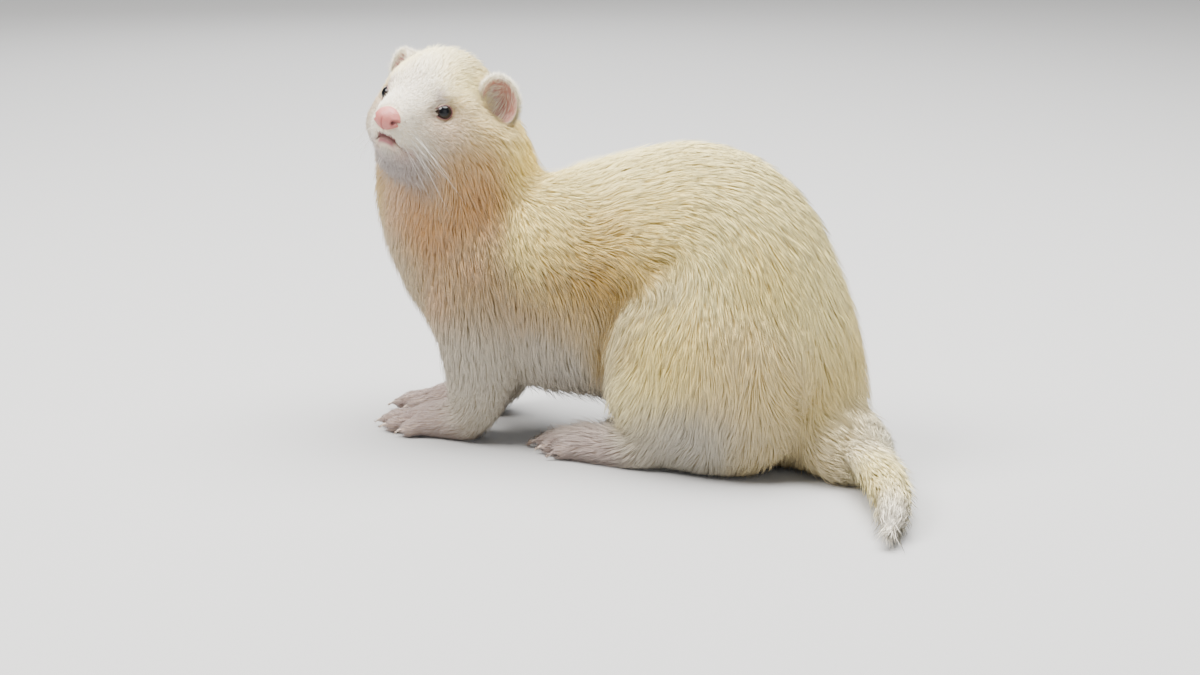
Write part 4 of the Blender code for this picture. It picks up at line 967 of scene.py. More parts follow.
# How long the hair is, how much it stands off, how strongly it gathers into locks, and how much it
# strays from its lie: place, reach, length in millimetres, stand in degrees, gather, stray in degrees
GROWTH = (
    ((0, 40, 135), 34, 11.0, 3, 0.30, 9),
    ((0, 110, 90), 26, 12.5, 6, 0.45, 10),
    ((30, 45, 112), 16, 11.0, 2, 0.50, 11),
    ((34, 20, 90), 18, 11.0, 5, 0.65, 20),
    ((36, 12, 62), 16, 11.0, 6, 0.60, 14),
    ((20, 10, 32), 18, 13.0, 16, 0.60, 10),
    ((0, 10, 25), 22, 13.0, 20, 0.55, 10),
    ((44, 60, 60), 26, 12.0, 4, 0.60, 12),
    ((40, 60, 15), 22, 10.0, 6, 0.55, 12),
    ((36, 95, 15), 18, 11.0, 8, 0.50, 12),
    ((37, 20, 10), 10, 6.0, 4, 0.40, 10),
    ((34, 4, 7), 8, 4.6, 3, 0.30, 9),
    ((24, -10, 6), 8, 3.6, 3, 0.20, 7),
    ((28, -28, 110), 16, 10.0, 6, 0.40, 10),
    ((0, -25, 125), 14, 10.0, 8, 0.55, 8),
    ((32, -62, 105), 16, 8.5, 6, 0.38, 11),
    ((20, -92, 85), 20, 9.5, 8, 0.45, 11),
    ((34, -45, 75), 18, 10.5, 4, 0.55, 9),
    ((34, -42, 48), 12, 8.0, 4, 0.50, 8),
    ((24, -46, 24), 10, 5.5, 4, 0.45, 8),
    ((22, -60, 8), 9, 4.4, 3, 0.30, 8),
    ((16, -84, 5), 9, 3.4, 3, 0.20, 7),
    ((8, 128, 24), 14, 14.0, 6, 0.45, 7),
    ((40, 150, 16), 18, 18.0, 9, 0.40, 6),
    ((80, 164, 8), 18, 19.0, 8, 0.45, 6),
)
HEAD_GROWTH = (
    ((15, 2, -3), 7, 2.0, 2, 0.10, 7),
    ((14, 7, -10), 6, 2.0, 2, 0.10, 7),
    ((12, 8, -18), 5, 1.7, 2, 0.05, 7),
    ((10, 0, -26), 7, 2.6, 5, 0.20, 8),
    ((0, 10, -30), 8, 4.6, 6, 0.40, 8),
    ((2, 20, -3), 5, 1.9, 1, 0.10, 7),
    ((4, 8, 7), 6, 2.4, 2, 0.15, 7),
    ((0, 14, 8), 6, 2.8, 3, 0.20, 7),
    ((-6, 20, -8), 7, 3.6, 3, 0.30, 8),
    ((-14, 22, -16), 9, 5.0, 3, 0.30, 8),
    ((-14, 0, 24), 12, 5.4, 13, 0.35, 14),
    ((-14, 20, 10), 8, 4.2, 7, 0.30, 11),
    ((-34, 0, 12), 12, 7.5, 7, 0.40, 11),
    ((-34, 22, -6), 12, 7.5, 6, 0.38, 11),
    ((-6, 0, -34), 10, 6.5, 8, 0.50, 9),
)


def lie_of(points):
    """The way the hair points at each place, before it is laid along the skin."""
    total = np.zeros((len(points), 3))
    rows = np.array(LIE)
    heads = np.array(HEAD_LIE)
    for side in (1, -1):
        turn = np.array((side, 1, 1))
        for row in rows:
            away = np.sum((points - from_body(row[:3] * turn)) ** 2, axis=1) / (LIE_REACH * MM) ** 2
            total += (1 / (1 + away) ** 2.5)[:, None] * (row[3:] * turn)
        turn = np.array((1, side, 1))
        for row in heads:
            place, way = from_head(row[:3] * turn * MM), (row[3:] * turn) @ HEAD_AXES
            away = np.sum((points - place) ** 2, axis=1) / (HEAD_LIE_REACH * MM) ** 2
            total += (1 / (1 + away) ** 2.5)[:, None] * way * 6.0
    return total


def tail_share(points):
    """Each place's share along the tail, and the way the tail runs there."""
    flat = (points - BODY_ORIGIN)[:, None, :2] - TAIL_SPOTS[None]
    nearest = np.argmin(np.sum(flat**2, axis=2), axis=1)
    return nearest / TAIL_STEPS, np.hstack([TAIL_HEADS[nearest], np.zeros((len(points), 1))])


def unit(vectors):
    return vectors / np.maximum(np.linalg.norm(vectors, axis=1), 1e-9)[:, None]


def laid(ways, normals):
    """Directions turned to lie along the surface."""
    return unit(ways - np.sum(ways * normals, axis=1)[:, None] * normals)


def waves(points, length, seed):
    """A smooth random value between about -1 and 1 that changes over a length in metres."""
    random = np.random.default_rng(seed)
    total = np.zeros(len(points))
    for _ in range(5):
        way = random.normal(size=3)
        way *= 2 * math.pi / (np.linalg.norm(way) * length * random.uniform(0.7, 1.4))
        total += np.sin(points @ way + random.uniform(0, 2 * math.pi))
    return total / 2.2


def turned(ways, normals, angles):
    """Directions turned about the surface's normals."""
    across = np.cross(normals, ways)
    return np.cos(angles)[:, None] * ways + np.sin(angles)[:, None] * across


def growth_of(points, column):
    """One column of the growth rows, blended over both sides of the body and head."""
    rows = []
    for place, reach, *row in GROWTH:
        rows.append((place, reach, row[column]))
        rows.append(((-place[0], place[1], place[2]), reach, row[column]))
    heads = []
    for place, reach, *row in HEAD_GROWTH:
        heads.append((place, reach, row[column]))
        heads.append(((place[0], -place[1], place[2]), reach, row[column]))
    return blended(points, rows, heads)


TIP_SHORTER = 0.28
hair_length, hair_stand, hair_gather, hair_stray = (growth_of(skin_points, column) for column in range(4))
# along the tail the hair runs with it, and it is shorter towards the tip
share, tail_ways = tail_share(skin_points)
hair_length *= 1.0 - TIP_SHORTER * smooth_step(share, 0.70, 0.92)
tail_hold = smooth_step(share, 0.02, 0.20)
ways = unit(lie_of(skin_points))
ways = ways * (1 - tail_hold[:, None]) + tail_hold[:, None] * (tail_ways + 0.25 * skin_normals)
# at the tail's tip the hair runs straight on past the skin
along_tail = np.sum(tail_ways * skin_normals, axis=1)
at_tip = tail_hold * smooth_step(along_tail, 0.25, 0.55) * (share > 0.7)
ways = unit(laid(ways, skin_normals) * (1 - at_tip[:, None]) + at_tip[:, None] * tail_ways)
drift = 0.8 * waves(skin_points, 0.020, 3) + 0.6 * waves(skin_points, 0.009, 4)
ways = turned(ways, skin_normals, np.radians(hair_stray) * drift)
coat_depth = blended(skin_points, COAT_DEPTHS, HEAD_DEPTHS)

# The tufts' width in millimetres, from their length, the share of it that covers, how many layers of
# them cover the skin, and the most of them to a square millimetre
TUFT_COVER = 0.6
WIDTH_BASE = 0.19
WIDTH_SHARE = 0.018
LAYERS = 3.35
MOST_TUFTS = 2.15
MOST_ON_FACE = 5.2

local = to_head(skin_points) / MM
on_face = 1.0 - smooth_step(np.linalg.norm(local - (2, 0, -6), axis=1), 26, 36)
on_feet = 1.0 - smooth_step(skin_points[:, 2] / MM, 16, 30)
on_feet *= smooth_step(-hair_length, -8.0, -6.0)
width = WIDTH_BASE + WIDTH_SHARE * hair_length
density = (1.0 + 1.7 * tail_hold) * (1.0 - 0.35 * on_feet) * LAYERS / (TUFT_COVER * width * hair_length)
density = np.minimum(density, MOST_TUFTS + (MOST_ON_FACE - MOST_TUFTS) * on_face)
density *= 1.0 - 0.3 * smooth_step(-skin_normals[:, 2], 0.5, 0.9) * (1.0 - on_face)
density *= 1.0 - smooth_step(bare, 0.15, 0.5)
density *= lid_share > 1.14
density[(skin_points[:, 2] < 1.6 * MM) & (skin_normals[:, 2] < -0.75)] = 0.0
for side in (1, -1):
    ear_axes = facing(mirrored(EAR_AXIS, side), mirrored(EAR_HEIGHT, side)) @ HEAD_AXES
    in_ear = (skin_points - from_head(EAR_PLACES[side])) @ ear_axes.T / EAR_RADII
    away = np.hypot(in_ear[:, 0] - 0.10 * side, in_ear[:, 1])
    beneath = np.interp(away, (0.40, 0.72, 0.85, 0.94), (-1.15, -1.0, -0.75, -0.5))
    density[(away < 0.83) & (in_ear[:, 2] > beneath) & (in_ear[:, 2] < 1.2)] = 0.0


def corners_of(mesh):
    """The three points of each triangle."""
    mesh.calc_loop_triangles()
    corners = np.empty(len(mesh.loop_triangles) * 3, np.int32)
    mesh.loop_triangles.foreach_get("vertices", corners)
    return corners.reshape(-1, 3)


def nearest_in(points):
    """A finder of the nearest of these points."""
    tree = KDTree(len(points))
    for number, place in enumerate(points):
        tree.insert(place, number)
    tree.balance()
    return lambda places: np.array([tree.find(place)[1] for place in places])


LOCK_SPACING = 2.4 * MM
LOCK_DRAW = 0.7
# Guard hairs: their share, and how much longer and finer they are and stand and turn from the lie
GUARD_SHARE = 0.15
GUARD_LONGER = 1.35
GUARD_FINER = 0.45
GUARD_STAND = 3.0
GUARD_TURN = 7
# How high the tufts lie in the coat: the least, then each one's own, its lock's and a guard hair's part
RISE = (0.30, 0.62, 0.16, 0.45)
RISE_POWER = 2.2
LIFT_POWER = 1.3
DRAW_POWER = 1.4
SUNK = 0.4 * MM
FLOOR_GAP = 0.25 * MM
PATH = (1 / 3, 2 / 3, 1.0)


def grown(points, normals, corners, ways, fields, seed):
    """
    Tufts grown all over a surface. Each starts under the skin, bends over and follows the lie.
    The fields, one value for each point: tufts to a square millimetre, length, depth of the coat,
    stand, gather and stray, in millimetres and degrees, and the colour.
    """
    random = np.random.default_rng(seed)
    one, two, three = (points[corners[:, corner]] for corner in range(3))
    areas = 0.5 * np.linalg.norm(np.cross(two - one, three - one), axis=1) / MM**2
    running = np.cumsum(areas * fields[0][corners].mean(axis=1))
    count = int(running[-1])
    face = np.searchsorted(running, (np.arange(count) + random.random(count)) * running[-1] / count)
    face = np.minimum(face, len(corners) - 1)
    weights = random.random((count, 2))
    folded = weights.sum(axis=1) > 1
    weights[folded] = 1 - weights[folded]
    weights = np.column_stack([weights, 1 - weights.sum(axis=1)])

    def here(values):
        return np.einsum("ij...,ij->i...", values[corners[face]], weights)

    roots, normal = here(points), unit(here(normals))
    way = unit(here(ways))
    ends = np.sum(way * normal, axis=1) > 0.3
    way = np.where(ends[:, None], way, laid(way, normal))
    length, depth, stand, gather, stray = (here(field) for field in fields[1:6])
    # locks: each gathers the tufts near it, and shares its own turn, length and tone
    cells = np.floor(roots / LOCK_SPACING).astype(np.int64)
    _, seeds = np.unique((cells[:, 0] * 4001 + cells[:, 1]) * 4001 + cells[:, 2], return_index=True)
    lock = nearest_in(roots[seeds])(roots)
    turns = random.normal(size=len(seeds))
    tones = random.random(len(seeds))
    rises = random.random(len(seeds))
    angle = np.radians(stray) * (0.45 * turns[lock] + 0.35 * random.normal(size=count))
    way = turned(way, normal, angle)
    aside = roots - roots[seeds[lock]]
    aside -= np.sum(aside * way, axis=1)[:, None] * way
    aside -= np.sum(aside * normal, axis=1)[:, None] * normal
    length = length * MM * random.uniform(0.85, 1.12, len(seeds))[lock] * random.uniform(0.82, 1.15, count)
    # the guard hairs: longer, finer and paler than the rest, and a little off their lie
    guard = random.random(count) < GUARD_SHARE
    length[guard] *= GUARD_LONGER
    way[guard] = turned(way[guard], normal[guard], np.radians(random.normal(0, GUARD_TURN, guard.sum())))
    rise = RISE[0] + RISE[1] * random.random(count) + RISE[2] * rises[lock] + RISE[3] * guard
    stand = stand + GUARD_STAND * guard
    beneath = nearest_in(points)
    rings = [roots - SUNK * normal]
    place, step_way, before = roots, way, 0.0
    for share in PATH:
        height = depth * MM * rise * (1 - (1 - share) ** RISE_POWER)
        height = height + share**LIFT_POWER * length * np.sin(np.radians(stand))
        place = place + (share - before) * length[:, None] * step_way
        under = beneath(place)
        over = np.sum((place - points[under]) * normals[under], axis=1)
        # past an end of the body, such as the tail's tip, the hair runs straight on
        past = np.sum(normals[under] * step_way, axis=1) > 0.45
        place = place + np.where(past, 0.0, height - over)[:, None] * normals[under]
        pulled = place - (share**DRAW_POWER * LOCK_DRAW * gather)[:, None] * aside
        pulled[:, 2] = np.maximum(pulled[:, 2], FLOOR_GAP)
        rings.append(pulled)
        bent = laid(0.5 * ways[under] + 0.5 * step_way, normals[under])
        step_way = np.where(past[:, None], step_way, bent)
        before = share
    across = np.cross(way, normal)
    roll = random.normal(0, 0.35, count)
    wide = (WIDTH_BASE * MM + WIDTH_SHARE * length) * random.uniform(0.8, 1.25, count)
    wide = wide * (1 - GUARD_FINER * guard)
    tone = 0.45 * tones[lock] + 0.55 * random.random(count)
    tone = np.maximum(tone, 0.85 * guard)
    sides = (turned(across, way, roll), turned(normal, way, roll))
    # the normal of the skin that each covers; past an end it is the one across the tuft, and up
    lit = laid(normal + (0, 0, 0.5) * ends[:, None], way)
    return {
        "rings": rings, "sides": sides, "wide": wide, "tone": tone, "colour": here(fields[6]),
        "face": face, "weights": weights, "roots": roots, "normal": lit,
    }


skin_corners = corners_of(skin.data)
skin_fields = (density, hair_length, coat_depth, hair_stand, hair_gather, hair_stray, skin_colours)
coat = grown(skin_points, skin_normals, skin_corners, ways, skin_fields, 11)

# The finish of the coat
SOFTNESS = 0.48
coat_finish, tree, shader = new_material("fur")
colour = node(tree, "ShaderNodeGroup", node_tree=tone)
tree.links.new(attribute(tree, "marking").outputs["Color"], colour.inputs["Marking"])
tree.links.new(attribute(tree, "along").outputs["Fac"], colour.inputs["Along"])
tree.links.new(attribute(tree, "chance").outputs["Fac"], colour.inputs["Chance"])
tree.links.new(colour.outputs[0], shader.inputs["Base Color"])
shader.inputs["Roughness"].default_value = 0.6
shader.inputs["Specular IOR Level"].default_value = 0.25
# light falls softly on the whole coat: each tuft is shaded partly by the skin that it covers
covered = node(
    tree, "ShaderNodeVectorTransform", {0: attribute(tree, "covered").outputs["Vector"]},
    vector_type="NORMAL", convert_from="OBJECT", convert_to="WORLD",
)
own = node(tree, "ShaderNodeNewGeometry").outputs["Normal"]
soft = node(tree, "ShaderNodeMix", {0: SOFTNESS, 4: own, 5: covered.outputs[0]}, data_type="VECTOR")
evened = node(tree, "ShaderNodeVectorMath", {0: soft.outputs[1]}, operation="NORMALIZE")
tree.links.new(evened.outputs[0], shader.inputs["Normal"])

PATCH = 0.0026
# Each tuft's thickness at its root and along it, as shares of its width
TAPERS = (0.75, 1.0, 0.72)


def add_tufts(name, tufts, members, uvs, segments):
    """One piece of the coat: closed three-sided tufts, with their markings, tones and map for baking."""
    rings = [ring[members] for ring in tufts["rings"]]
    if segments == 2:
        rings = [rings[0], 0.5 * (rings[1] + rings[2]), rings[3]]
    across, outward = (side[members] for side in tufts["sides"])
    wide = tufts["wide"][members]
    count, each = len(members), 3 * segments + 1
    points = np.empty((count, each, 3))
    for step, ring in enumerate(rings[:-1]):
        taper = (wide * TAPERS[step])[:, None]
        points[:, 3 * step] = ring - 0.5 * taper * across
        points[:, 3 * step + 1] = ring + 0.45 * taper * outward
        points[:, 3 * step + 2] = ring + 0.5 * taper * across
    points[:, -1] = rings[-1]
    points[..., 2] = np.maximum(points[..., 2], 0.1 * MM)
    faces = [(0, 1, 2)]
    for step in range(segments - 1):
        for corner in range(3):
            one, two = 3 * step + corner, 3 * step + (corner + 1) % 3
            faces += [(one, one + 3, two + 3), (one, two + 3, two)]
    top = 3 * segments - 3
    faces += [(top + corner, top + 3, top + (corner + 1) % 3) for corner in range(3)]
    faces = np.array(faces)
    loops = (faces[None] + (np.arange(count) * each)[:, None, None]).reshape(-1)
    made = bpy.data.meshes.new(name)
    made.vertices.add(count * each)
    made.vertices.foreach_set("co", points.ravel())
    made.loops.add(len(loops))
    made.loops.foreach_set("vertex_index", loops.astype(np.int32))
    made.polygons.add(len(loops) // 3)
    made.polygons.foreach_set("loop_start", np.arange(0, len(loops), 3, dtype=np.int32))
    made.update(calc_edges=True)
    made.shade_smooth()
    upward = np.append(np.repeat(np.arange(segments) / segments, 3), 1.0)
    set_attribute(made, "along", np.tile(upward, count))
    set_attribute(made, "marking", np.repeat(tufts["colour"][members], each, axis=0))
    set_attribute(made, "chance", np.repeat(tufts["tone"][members], each))
    covered = np.repeat(tufts["normal"][members], each, axis=0).astype(np.float32)
    made.attributes.new("covered", "FLOAT_VECTOR", "POINT").data.foreach_set("vector", covered.ravel())
    side = np.array([0.0, 0.5, 1.0] * segments + [0.5])
    patch = PATCH * (np.stack([side, upward], axis=1) - 0.5)[faces.ravel()]
    layer = made.uv_layers.new(name="OFBake")
    layer.data.foreach_set("uv", (uvs[:, None] + patch[None]).astype(np.float32).ravel())
    made.materials.append(coat_finish)
    piece = bpy.data.objects.new(name, made)
    bpy.context.scene.collection.objects.link(piece)
    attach(piece, "root")


def unwrapped(points, faces):
    """A map of these faces of a surface: for each, its three corners' places."""
    used, own_faces = np.unique(faces, return_inverse=True)
    made = bpy.data.meshes.new("map")
    made.from_pydata(points[used].tolist(), [], own_faces.reshape(-1, 3).tolist())
    piece = bpy.data.objects.new("map", made)
    bpy.context.scene.collection.objects.link(piece)
    bpy.ops.object.select_all(action="DESELECT")
    piece.select_set(True)
    bpy.context.view_layer.objects.active = piece
    bpy.ops.object.mode_set(mode="EDIT")
    bpy.ops.mesh.select_all(action="SELECT")
    bpy.ops.uv.smart_project(angle_limit=math.radians(72), island_margin=0.004)
    bpy.ops.object.mode_set(mode="OBJECT")
    places = np.empty(len(made.loops) * 2, np.float32)
    made.uv_layers.active.data.foreach_get("uv", places)
    bpy.data.objects.remove(piece)
    return places.reshape(-1, 3, 2)


# The pieces of the coat: each is named for the place that it grows round, and its hair's segments
COAT_PIECES = (
    ("coat_face", from_head(np.array((10, 0, -6)) * MM), 2),
    ("coat_cheek_left", from_head(np.array((-8, 22, -14)) * MM), 2),
    ("coat_cheek_right", from_head(np.array((-8, -22, -14)) * MM), 2),
    ("coat_crown", from_head(np.array((-14, 0, 22)) * MM), 2),
    ("coat_neck", from_body((0, -45, 122)), 2),
    ("coat_throat", from_body((4, -92, 100)), 2),
    ("coat_chest", from_body((0, -76, 60)), 2),
    ("coat_foreleg_left", from_body((26, -50, 20)), 2),
    ("coat_foreleg_right", from_body((-33, -55, 20)), 2),
    ("coat_shoulders", from_body((0, -12, 85)), 2),
    ("coat_back", from_body((0, 50, 120)), 2),
    ("coat_belly", from_body((0, 10, 30)), 2),
    ("coat_haunch_left", from_body((40, 60, 40)), 2),
    ("coat_haunch_right", from_body((-40, 60, 40)), 2),
    ("coat_rump", from_body((0, 115, 70)), 2),
    ("coat_tail", from_body((50, 155, 12)), 3),
)
middles = skin_points[skin_corners].mean(axis=1)
face_region = np.argmin([np.linalg.norm(middles - place, axis=1) for _, place, _ in COAT_PIECES], axis=0)
for number, (name, _, segments) in enumerate(COAT_PIECES):
    members = np.flatnonzero(face_region[coat["face"]] == number)
    own_faces = np.flatnonzero(face_region == number)
    corner_map = unwrapped(skin_points, skin_corners[own_faces])
    place_in = np.searchsorted(own_faces, coat["face"][members])
    uvs = np.einsum("ijk,ij->ik", corner_map[place_in], coat["weights"][members])
    add_tufts(name, coat, members, uvs, segments)

# The eyes: glossy, wet dark balls, nearly black, with a brown ring round the pupil. Each sits in its
# lids and bulges a little at the front, where it is clear over the pupil.
eye_finish, tree, shader = new_material("eye")
place = node(tree, "ShaderNodeTexCoord").outputs["Object"]
seen = attribute(tree, "pupil").outputs["Fac"]
ring = node(tree, "ShaderNodeTexNoise", {"Vector": place, "Scale": 1500.0, "Detail": 2.0})
BLACK = (0.003, 0.003, 0.004, 1.0)
BROWN = (0.012, 0.008, 0.007, 1.0)
LIGHT_BROWN = (0.022, 0.014, 0.012, 1.0)
brown = mixed(tree, "MIX", ring.outputs[0], BROWN, LIGHT_BROWN)
tree.links.new(mixed(tree, "MIX", seen, brown, BLACK), shader.inputs["Base Color"])
shader.inputs["Roughness"].default_value = 0.09
shader.inputs["Specular IOR Level"].default_value = 0.25
shader.inputs["Coat Weight"].default_value = 0.08
shader.inputs["Coat Roughness"].default_value = 0.03

for side, name in ((1, "left"), (-1, "right")):
    eye_axes = facing(mirrored(EYE_AXIS, side), (0, 0, 1)) @ HEAD_AXES
    centre = from_head(mirrored(EYEBALL_CENTRE, side))
    eye = ball(f"eyeball_{name}", centre, [EYEBALL_RADIUS] * 3, eye_axes, 64, 48)
    turn = (points_of(eye.data) - centre) @ eye_axes[2] / EYEBALL_RADIUS
    bulge = 1.0 + 0.035 * smooth_step(turn, 0.72, 1.0)
    set_points(eye.data, (points_of(eye.data) - centre) * bulge[:, None] + centre)
    set_attribute(eye.data, "pupil", smooth_step(turn, 0.80, 0.88))
    eye.data.shade_smooth()
    eye.data.materials.append(eye_finish)
    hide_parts(f"eye_{name}")
    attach(eye, "root")

# The nose: a bare, pebbled pink pad with a groove down its middle and two comma-shaped nostrils.
# It is one with the muzzle, and the white hair closes in round it.
NOSTRIL = np.array((2.9, 4.7, -0.7))
SLIT_END = np.array((0.4, 6.4, -1.1))
nose = ball("nose_pad", (0, 0, 0), (1, 1, 1), np.eye(3), 128, 80)
ways = points_of(nose.data)
sides = np.column_stack([ways[:, 0], np.abs(ways[:, 1]), ways[:, 2]])
size = NOSE_RADII / MM
pad = sides * size
# flat-topped and squared towards the front, drawn in below
pad[:, 0] = np.where(pad[:, 0] > 0, size[0] * np.abs(pad[:, 0] / size[0]) ** 0.9, pad[:, 0])
pad[:, 1] *= 1.0 - 0.10 * smooth_step(-pad[:, 2], 1.0, 5.0)
wing = hill(np.linalg.norm((pad - (1.6, 5.2, -1.6)) / (2.6, 2.0, 2.2), axis=1), 1.0)
pad[:, 1] += 0.55 * wing
middle = hill(sides[:, 1] * size[1], 0.42) * smooth_step(ways[:, 0], 0.25, 0.6)
middle *= smooth_step(-ways[:, 2], -0.35, 0.1)
steps = np.clip((pad - NOSTRIL) @ (SLIT_END - NOSTRIL) / np.sum((SLIT_END - NOSTRIL) ** 2), 0, 1)
bend = 0.5 * np.sin(np.pi * steps)[:, None] * (0, 0, 1)
from_slit = np.linalg.norm(pad - (NOSTRIL + steps[:, None] * (SLIT_END - NOSTRIL) + bend), axis=1)
pit = 1.9 * hill(from_slit, 1.05 - 0.55 * steps) * (1.0 - 0.45 * steps)
rim = 0.28 * hill(from_slit - 1.5, 0.55) * (1 - 0.5 * steps)
pebbles = 0.035 * waves(ways, 0.14, 21) + 0.03 * waves(ways, 0.09, 22)
pad -= ((pit + 0.42 * middle - rim - pebbles) / size[0])[:, None] * sides * size
pad[:, 1] *= np.where(ways[:, 1] < 0, -1, 1)
set_points(nose.data, from_head(pad * MM + NOSE_CENTRE))
set_attribute(nose.data, "hollow", np.clip(pit / 1.3, 0, 1))
set_attribute(nose.data, "fold", np.clip(middle, 0, 1))

nose_finish, tree, shader = new_material("nose_leather")
place = node(tree, "ShaderNodeTexCoord").outputs["Object"]
pebble = node(tree, "ShaderNodeTexVoronoi", {"Vector": place, "Scale": 1900.0})
broad = node(tree, "ShaderNodeTexNoise", {"Vector": place, "Scale": 260.0, "Detail": 3.0})
NOSE_PINK = (0.42, 0.125, 0.105, 1.0)
NOSE_PALE = (0.53, 0.19, 0.165, 1.0)
NOSE_DEEP = (0.34, 0.08, 0.07, 1.0)
pink = mixed(tree, "MIX", broad.outputs[0], NOSE_PINK, NOSE_PALE)
# painted shade: the groove down the middle is painted a deeper pink, and the nostrils' pits dark red
folded = mixed(tree, "MIX", attribute(tree, "fold").outputs["Fac"], pink, NOSE_DEEP)
whole = mixed(tree, "MIX", attribute(tree, "hollow").outputs["Fac"], folded, DARK_RED)
tree.links.new(whole, shader.inputs["Base Color"])
shader.inputs["Roughness"].default_value = 0.42
shader.inputs["Subsurface Weight"].default_value = 0.12
shader.inputs["Subsurface Scale"].default_value = 0.002
bump = node(tree, "ShaderNodeBump", {"Height": pebble.outputs[0], "Strength": 0.30, "Distance": 0.0002})
tree.links.new(bump.outputs[0], shader.inputs["Normal"])
nose.data.shade_smooth()
nose.data.materials.append(nose_finish)
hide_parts("nose")
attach(nose, "root")

# The ears: each a thin, rounded cup of pink skin with a thick, woolly white rim, low at the front
# where it joins the cheek and high at the back.
EAR_ROUND = 56
ear_angles = np.linspace(0, 2 * math.pi, EAR_ROUND, endpoint=False)
ear_finish, tree, shader = new_material("ear_skin")
place = node(tree, "ShaderNodeTexCoord").outputs["Object"]
broad = node(tree, "ShaderNodeTexNoise", {"Vector": place, "Scale": 300.0, "Detail": 3.0})
EAR_PINK = (0.50, 0.21, 0.18, 1.0)
EAR_PALE = (0.62, 0.34, 0.29, 1.0)
EAR_WHITE = (0.72, 0.56, 0.48, 1.0)
EAR_COAT = (0.80, 0.66, 0.42, 1.0)
pink = mixed(tree, "MIX", broad.outputs[0], EAR_PINK, EAR_PALE)
pink = mixed(tree, "MIX", attribute(tree, "rim").outputs["Fac"], pink, EAR_WHITE)
whole = mixed(tree, "MIX", attribute(tree, "back").outputs["Fac"], pink, EAR_COAT)
tree.links.new(whole, shader.inputs["Base Color"])
shader.inputs["Roughness"].default_value = 0.6
shader.inputs["Subsurface Weight"].default_value = 0.1
shader.inputs["Subsurface Scale"].default_value = 0.002

ear_points = {}
for side, name in ((1, "left"), (-1, "right")):
    ear_axes = facing(mirrored(EAR_AXIS, side), mirrored(EAR_HEIGHT, side)) @ HEAD_AXES
    radius = EAR_RADII / MM * 0.97
    rim = ear_rim(ear_angles)
    rows = []
    for share, height, rise in EAR_PROFILE:
        if share == 0.0:
            rows.append(np.array(((0.0, 0.0, height),)))
            continue
        across, upward = np.cos(ear_angles), np.sin(ear_angles)
        row = (share * radius[0] * across, share * radius[1] * upward, height + rise * rim)
        rows.append(np.stack(row, axis=1))
    places = np.vstack(rows)
    back = np.concatenate([np.full(len(row), float(step > RIM_STEP + 2)) for step, row in enumerate(rows)])
    if side < 0:
        places[:, 0] *= -1
    faces = []
    starts = np.cumsum([0] + [len(row) for row in rows])
    for number in range(EAR_ROUND):
        beside = (number + 1) % EAR_ROUND
        faces.append((0, starts[1] + number, starts[1] + beside))
        for step in range(1, len(rows) - 2):
            low, high = starts[step], starts[step + 1]
            faces.append((low + number, high + number, high + beside, low + beside))
        last = starts[len(rows) - 2]
        faces.append((last + beside, last + number, starts[len(rows) - 1]))
    made = bpy.data.meshes.new(f"ear_{name}_cup")
    ear_place = from_head(EAR_PLACES[side])
    faces = [tuple(map(int, face)) for face in faces]
    made.from_pydata(((places * MM) @ ear_axes + ear_place).tolist(), [], faces)
    ear = bpy.data.objects.new(f"ear_{name}_cup", made)
    bpy.context.scene.collection.objects.link(ear)
    faces_outward(made)
    set_attribute(made, "back", back)
    applied(ear, "SUBSURF", levels=1, render_levels=1)
    made = ear.data
    points = points_of(made)
    in_ear = (points - ear_place) @ ear_axes.T / MM
    out = np.hypot(in_ear[:, 0] / radius[0], in_ear[:, 1] / radius[1])
    low_front = smooth_step(-in_ear[:, 2], 1.0, 3.0) * (out < 0.9)
    set_attribute(made, "rim", smooth_step(out, 0.84, 0.97) * (1 - 0.2 * low_front))
    made.shade_smooth()
    made.materials.append(ear_finish)
    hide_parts(f"ear_{name}")
    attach(ear, "root")
    ear_points[name] = (ear, ear_place, ear_axes)

